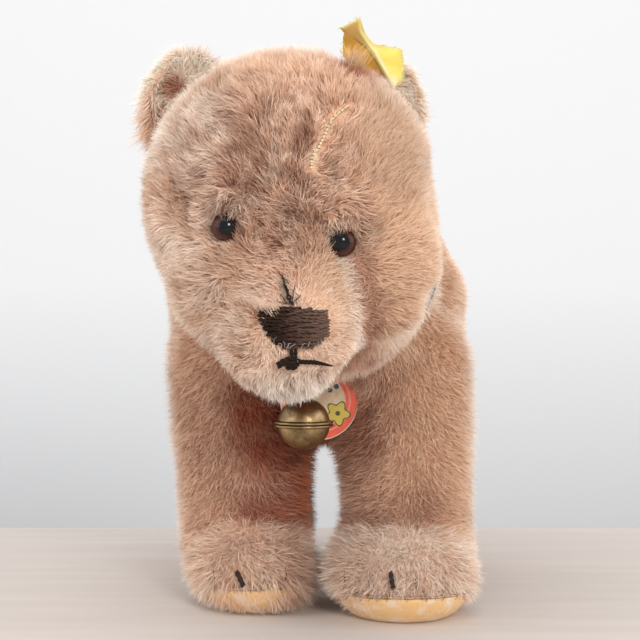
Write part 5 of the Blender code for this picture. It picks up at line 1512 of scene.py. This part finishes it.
class BEAR_OT_collar(bpy.types.Operator):
    """Make the neck cord with its knot, the bell on its ring, and the chest tag"""

    bl_idname = "bear.collar"
    bl_label = "Cord, bell and chest tag"

    def execute(self, context):
        trim = context.scene.bear_trim
        self.cord(trim)
        self.bell(trim)
        self.tag(trim)
        return {"FINISHED"}

    def cord(self, trim):
        finish = thread_finish("cord_finish", trim.cord, 0.7, 0.3)
        thread("twisted_cord", [cord_places()], finish, "cord", "neck_cord", closed=True,
               radius=0.0009, plies=3, twist=0.0056, step=0.0008)
        low, high = corners_of("cord_knot")
        middle, half = (low + high) / 2.0, (high - low) / 2.0 - 0.0008
        turn = np.linspace(0.0, TURN, 48, endpoint=False)
        knot = np.stack([(np.sin(turn) + 2.0 * np.sin(2.0 * turn)) / 2.6,
                         np.sin(3.0 * turn), (np.cos(turn) - 2.0 * np.cos(2.0 * turn)) / 3.0], axis=1)
        thread("cord_bow", [middle + knot * half], finish, "cord", "cord_knot", closed=True,
               radius=0.0008, plies=3, twist=0.0040, step=0.0005)

    def bell(self, trim):
        finish = brass_finish(trim.brass)
        dome = link("bell_dome", turned("bell_dome", self.shell(1.0), BELL_CENTRE))
        settle(dome, finish, "bell", "brass", "bell_upper")
        bowl = link("bell_bowl", turned("bell_bowl", self.shell(-1.0), BELL_CENTRE))
        self.open_bowl(bowl)
        settle(bowl, finish, "bell", "brass", "bell_lower")
        for node, body in (("bell_ring", "ring"), ("bell_loop", "bell")):
            wire = subdivided(node + "_wire", merged_copy(node), 1)
            wire.shade_smooth()
            settle(link(node + "_wire", wire), finish, body, "brass", node)
        pellet = subdivided("bell_ball", merged_copy("bell_pellet"), 2)
        pellet.shade_smooth()
        steel = steel_finish()
        settle(link("bell_ball", pellet), steel, "bell", "steel", "bell_pellet")
        for side in SIDES:
            shank = NODES["eye_shank_" + side]
            shank.data.materials.clear()
            shank.data.materials.append(steel)

    def shell(self, way):
        """Outline of half a bell, over the flange for a way of 1 and under it for -1."""
        outer = np.radians(np.linspace(84.0, 8.0, 24))
        inner = np.radians(np.linspace(1.3, 84.0, 18))
        profile = [(0.0, SHELL_OUTER)]
        profile += [(SHELL_OUTER * math.cos(a), SHELL_OUTER * math.sin(a)) for a in outer]
        profile += BELL_FLANGE
        profile += [(SHELL_INNER * math.cos(a), SHELL_INNER * math.sin(a)) for a in inner]
        return [(radius, way * height) for radius, height in profile + [(0.0, SHELL_INNER)]]

    def open_bowl(self, bowl):
        """Cut the slot and the two round holes of the bell's lower half."""
        down = Matrix.Translation(Vector(BELL_CENTRE) + Vector((0.0, 0.0, -SHELL_OUTER)))
        cutters = []
        work = bmesh.new()
        bmesh.ops.create_cube(work, size=1.0, matrix=down @ Matrix.Diagonal((*BELL_SLOT, 1.0)))
        cutters.append(self.cutter("slot_cutter", work))
        for aside in BELL_HOLES:
            work = bmesh.new()
            bmesh.ops.create_cone(work, cap_ends=True, segments=32, radius1=0.0013, radius2=0.0013,
                                  depth=0.0110, matrix=down @ Matrix.Translation((aside, 0.0, 0.0)))
            cutters.append(self.cutter("hole_cutter", work))
        for cutter in cutters:
            opened = bowl.modifiers.new("slot", "BOOLEAN")
            opened.object = cutter
            opened.operation = "DIFFERENCE"
            opened.solver = "EXACT"
        mesh = evaluated(bowl)
        bowl.modifiers.clear()
        bowl.data = mesh
        for cutter in cutters:
            bpy.data.objects.remove(cutter)
        mesh.shade_smooth()
        mesh.set_sharp_from_angle(angle=SHARP)

    def cutter(self, name, work):
        mesh = bpy.data.meshes.new(name)
        work.to_mesh(mesh)
        work.free()
        return link(name, mesh)

    def tag(self, trim):
        low, high = corners_of("chest_tag")
        centre, (radius, thick, _) = (low + high) / 2.0, (high - low) / 2.0
        rim = [(radius - 0.00025, thick), (radius - 0.00008, thick * 0.8), (radius, thick * 0.4)]
        outline = [(0.0, thick), *rim, *((reach, -height) for reach, height in reversed(rim)), (0.0, -thick)]
        mesh = turned("printed_card", outline, (0.0, 0.0, 0.0))
        mesh.transform(Matrix.Translation(Vector(centre)) @ Matrix.Rotation(math.radians(90.0), 4, "X"))
        settle(link("printed_card", mesh), card_finish(trim.card, centre), "bear", "card", "chest_tag")
        low, high = corners_of("tag_thread")
        centre, half = (low + high) / 2.0, (high - low) / 2.0 - 0.0003
        turn = np.linspace(0.0, TURN, 24, endpoint=False)
        ring = np.stack([np.zeros(24), np.cos(turn) * half[1], np.sin(turn) * half[2]], axis=1)
        finish = thread_finish("tag_thread_finish", (0.62, 0.42, 0.10), 0.8, 0.2)
        thread("tag_loop", [centre + ring], finish, "ribbon", "tag_thread", closed=True,
               radius=0.0003, plies=2, twist=0.0016, step=0.0004)


class BEAR_OT_ear_tag(bpy.types.Operator):
    """Make the folded cloth tag at the ear, with its frayed edge and its tack"""

    bl_idname = "bear.ear_tag"
    bl_label = "Ear tag"

    def execute(self, context):
        rows = self.sections()
        piece = self.cloth(rows)
        settle(piece, ribbon_finish(context.scene.bear_trim.ribbon), "bear", "ribbon", "ear_tag")
        self.fray(rows)
        self.lap()
        seam = thread_finish("tack_finish", (0.55, 0.42, 0.12), 0.8, 0.2)
        low, high = corners_of("ear_tag_stitch")
        (left, ahead, under), (right, _, top) = low + 0.0003, high - 0.0003
        path = [(left, high[1], top), (left, ahead, top), (right, ahead, under), (right, high[1], under)]
        thread("ear_tag_tack", [path], seam, "seam", "ear_tag_stitch",
               radius=0.0003, plies=2, twist=0.0014, step=0.0004)
        return {"FINISHED"}

    def sections(self):
        """Places of the cloth, one row across for each step along the fold."""
        rows = []
        for share in np.linspace(0.0, 1.0, 45):
            inner = np.interp(share, *zip(*EAR_TAG_INNER))
            outer = np.interp(share, *zip(*EAR_TAG_OUTER))
            curl = EAR_TAG_CURL * max(0.0, 1.0 - share / 0.3) ** 1.5
            proud = EAR_TAG_PROUD
            ripple = 0.00025 * math.sin(share * 19.0)
            strip = np.interp(share, *zip(*EAR_TAG_STRIP))
            side = np.interp(share, *zip(*EAR_TAG_EDGE))
            places = [(-inner, curl), (-0.5 * (inner + strip), curl + proud * 0.25 + ripple),
                      (-strip, proud * 0.8 + curl), (-0.5 * strip, proud + curl), (side, proud + curl),
                      (0.5 * (side + outer), proud * 0.7 + curl - ripple),
                      (outer, proud * 0.45 + curl + ripple)]
            fine = smooth_line([(aside, 0.0, high) for aside, high in places], 37)
            along = (0.5 - share) * EAR_TAG_LENGTH
            rows.append([EAR_TAG_PLACE + EAR_TAG_ASIDE * a + EAR_TAG_UP * along - np.array([0.0, b, 0.0])
                         for a, _, b in fine])
        return np.array(rows)

    def cloth(self, rows):
        """The cloth with its thickness, a dark line, and its painted highlight and shade."""
        count, across = rows.shape[:2]
        faces = [(i * across + j, i * across + j + 1, (i + 1) * across + j + 1, (i + 1) * across + j)
                 for i in range(count - 1) for j in range(across - 1)]
        mesh = bpy.data.meshes.new("folded_ribbon")
        mesh.from_pydata([tuple(place) for row in rows for place in row], [], faces)
        layer = mesh.uv_layers.new(name="OFBake")
        for loop in mesh.loops:
            row, column = divmod(loop.vertex_index, across)
            layer.data[loop.index].uv = (0.02 + 0.96 * column / (across - 1), 0.02 + 0.46 * row / (count - 1))
        column = np.tile(np.linspace(0.0, 1.0, across), count)
        share = np.repeat(np.linspace(0.0, 1.0, count), across)
        # Painted highlight along the fold and at the lower end.
        fold = np.exp(-((column - 0.64) / 0.045) ** 2) * smoothstep(0.06, 0.25, share)
        tip = smoothstep(0.80, 0.95, share) * smoothstep(0.45, 0.55, column) * smoothstep(0.90, 0.75, column)
        store(mesh, "fold_highlight", np.clip(0.95 * np.maximum(fold, 0.8 * tip), 0.0, 0.95))
        store(mesh, "line", 0.75 * np.exp(-((column - 0.37) / 0.025) ** 2) * smoothstep(0.10, 0.24, share))
        # Painted shade inside the curl at the top.
        curl_shade = smoothstep(0.68, 0.60, column) * smoothstep(0.30, 0.36, column)
        curl_shade *= smoothstep(0.40, 0.10, share)
        store(mesh, "curl_shade", 0.85 * curl_shade)
        # Painted shade over the inner leaf.
        store(mesh, "inner_leaf_shade", smoothstep(0.40, 0.32, column))
        blank = link("folded_ribbon_blank", mesh)
        solid = blank.modifiers.new("cloth", "SOLIDIFY")
        solid.thickness = 0.0004
        solid.offset = 0.0
        made = evaluated(blank)
        bpy.data.objects.remove(blank)
        work = bmesh.new()
        work.from_mesh(made)
        bmesh.ops.recalc_face_normals(work, faces=work.faces)
        work.to_mesh(made)
        work.free()
        made.shade_smooth()
        return link("folded_ribbon", made)

    def fray(self, rows):
        """Loose threads along the outer leaf's edge and over the end."""
        chance = np.random.default_rng(9)
        threads = []
        edges = [(rows[i, -1], rows[i + 1, -1], rows[i, -4]) for i in range(15, len(rows) - 1)] * 4
        edges += [(rows[i, 0], rows[i + 1, 0], rows[i, 3]) for i in range(0, 30)]
        edges += [(rows[0, i], rows[0, i + 1], rows[3, i]) for i in range(8, 25)] * 2
        for here, following, inward in edges:
            share = chance.uniform(0.0, 1.0)
            edge = here * (1.0 - share) + following * share
            run = here - inward
            run = run / max(np.linalg.norm(run), 1e-6)
            long = chance.uniform(0.0002, 0.0012)
            bend = [chance.uniform(-0.5, 0.5), chance.uniform(-0.4, 0.4), chance.uniform(-0.7, 0.3)]
            bend = np.array(bend) * long
            threads.append([edge - run * 0.0012, edge + run * long * 0.5, edge + run * long + bend * 0.6])
        pale = thread_finish("fray_finish", (0.95, 0.72, 0.15), 0.85, 0.3)
        thread("ribbon_fray", threads, pale, "ribbon", radius=0.00015, plies=1, twist=0.002, step=0.0008)

    def lap(self):
        """Lay some of the head's pile over the tag's inner leaf."""
        chance = np.random.default_rng(23)
        head = tree_of(merged_copy("head"))
        hairs = []
        for _ in range(LAP_HAIRS):
            place, _ = seen_at(head, chance.uniform(*LAP_ACROSS), chance.uniform(*LAP_HEIGHT))
            lean, long = chance.uniform(-0.55, 0.70), chance.uniform(0.0026, 0.0060)
            if place is not None:
                hairs.append([place, place + np.array([0.35 * lean, -0.42, 0.50]) * long,
                              place + np.array([lean, -0.50, 1.0]) * long])
        fur = thread_finish("lap_fur_finish", (0.82, 0.47, 0.27), 0.8, 0.3)
        thread("lap_fur", hairs, fur, "mohair", radius=0.00009, plies=1, twist=0.0020, step=0.0013)


class BEAR_OT_stage(bpy.types.Operator):
    """Make the floor, the backdrop, the lamps and the camera"""

    bl_idname = "bear.stage"
    bl_label = "Stage"

    def execute(self, context):
        stage = context.scene.bear_stage
        context.scene.view_settings.view_transform = "Standard"
        self.surfaces(stage)
        self.lights(context, stage)
        self.camera(context, stage)
        return {"FINISHED"}

    def plain(self, name, corners, finish):
        mesh = bpy.data.meshes.new(name)
        mesh.from_pydata(corners, [], [(0, 1, 2, 3)])
        mesh.materials.append(finish)
        made = link(name, mesh)
        return made

    def surfaces(self, stage):
        floor_finish, tree, shader = principled("floor_finish", roughness=0.75)
        stretched = add(tree, "ShaderNodeMapping",
                        {"Vector": place_of(tree), "Scale": (1.0, 9.0, 1.0)}).outputs[0]
        streak = noise(tree, 9.0, 4.0, 0.6, stretched)
        pale = ramp(tree, streak, (0.30, times(stage.floor, 0.94)), (0.70, times(stage.floor, 1.05)))
        plug(tree, shader.inputs["Base Color"], pale)
        wall_finish, tree, shader = principled("wall_finish", roughness=0.9)
        # Painted shade: the backdrop darker towards the floor.
        height = add(tree, "ShaderNodeSeparateXYZ", {0: place_of(tree)}).outputs["Z"]
        falloff = maths(tree, "MULTIPLY_ADD", height, 2.2, 0.30)
        shaded_wall = ramp(tree, falloff, (0.0, times(stage.wall, 0.66)), (0.5, tuple(stage.wall)))
        plug(tree, shader.inputs["Base Color"], shaded_wall)
        far, edge, wall, low = STAGE_REACH, FLOOR_EDGE, WALL_PLACE, BELOW_FLOOR
        floor = [(-far, -far, 0), (far, -far, 0), (far, edge, 0), (-far, edge, 0)]
        front = [(-far, edge, 0), (far, edge, 0), (far, edge, low), (-far, edge, low)]
        behind = [(-far, wall, low), (far, wall, low), (far, wall, far), (-far, wall, far)]
        self.plain("floor", floor, floor_finish)
        self.plain("floor_edge", front, floor_finish)
        self.plain("backdrop", behind, wall_finish)

    def lights(self, context, stage):
        world = bpy.data.worlds.new("studio")
        world.use_nodes = True
        tree = world.node_tree
        tree.nodes["Background"].inputs["Color"].default_value = SKY_COLOUR
        tree.nodes["Background"].inputs["Strength"].default_value = SKY_STRENGTH
        context.scene.world = world
        lamps = (
            ("lamp_front", (0.26, -0.90, 0.40), 0.22, stage.lamp_power * 1.7, (1.0, 0.97, 0.93)),
            ("lamp_top", (-0.15, -0.25, 0.75), 0.7, stage.lamp_power, (1.0, 0.97, 0.93)),
            ("lamp_left", (-0.75, -0.35, 0.35), 0.6, stage.lamp_power * 0.66, (0.95, 0.97, 1.0)),
            ("lamp_right", (0.75, -0.15, 0.35), 0.6, stage.lamp_power * 0.6, (1.0, 0.98, 0.95)),
        )
        for name, place, size, power, colour in lamps:
            data = bpy.data.lights.new(name, "AREA")
            data.size = size
            data.energy = power
            data.color = colour
            lamp = bpy.data.objects.new(name, data)
            context.scene.collection.objects.link(lamp)
            lamp.location = place
            lamp.rotation_euler = (LAMPS_AIM - Vector(place)).to_track_quat("-Z", "Y").to_euler()

    def camera(self, context, stage):
        data = bpy.data.cameras.new("camera")
        data.lens = stage.lens
        data.sensor_width = SENSOR_WIDTH
        camera = bpy.data.objects.new("camera", data)
        context.scene.collection.objects.link(camera)
        camera.location = CAMERA_PLACE
        camera.rotation_euler = (math.radians(90.0 - CAMERA_DOWN), 0.0, 0.0)
        context.scene.camera = camera


class BEAR_PT_panel(bpy.types.Panel):
    """Buttons and values of the bear."""

    bl_label = "Mohair bear"
    bl_idname = "BEAR_PT_panel"
    bl_space_type = "VIEW_3D"
    bl_region_type = "UI"
    bl_category = PANEL_TAB

    def draw(self, context):
        for operator in OPERATORS:
            self.layout.operator(operator.bl_idname)
        for group in (context.scene.bear_plush, context.scene.bear_trim, context.scene.bear_stage):
            box = self.layout.box()
            for name in group.__annotations__:
                box.prop(group, name)


GROUPS = (BearPlush, BearTrim, BearStage)
OPERATORS = (BEAR_OT_plush, BEAR_OT_face, BEAR_OT_feet, BEAR_OT_collar, BEAR_OT_ear_tag, BEAR_OT_stage)


def register():
    for kind in (*GROUPS, *OPERATORS, BEAR_PT_panel):
        bpy.utils.register_class(kind)
    bpy.types.Scene.bear_plush = PointerProperty(type=BearPlush)
    bpy.types.Scene.bear_trim = PointerProperty(type=BearTrim)
    bpy.types.Scene.bear_stage = PointerProperty(type=BearStage)


def unregister():
    del bpy.types.Scene.bear_plush
    del bpy.types.Scene.bear_trim
    del bpy.types.Scene.bear_stage
    for kind in reversed((*GROUPS, *OPERATORS, BEAR_PT_panel)):
        bpy.utils.unregister_class(kind)


def main():
    register()
    bpy.ops.bear.plush()
    bpy.ops.bear.face()
    bpy.ops.bear.feet()
    bpy.ops.bear.collar()
    bpy.ops.bear.ear_tag()
    bpy.ops.bear.stage()
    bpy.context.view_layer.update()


if __name__ == "__main__":
    main()
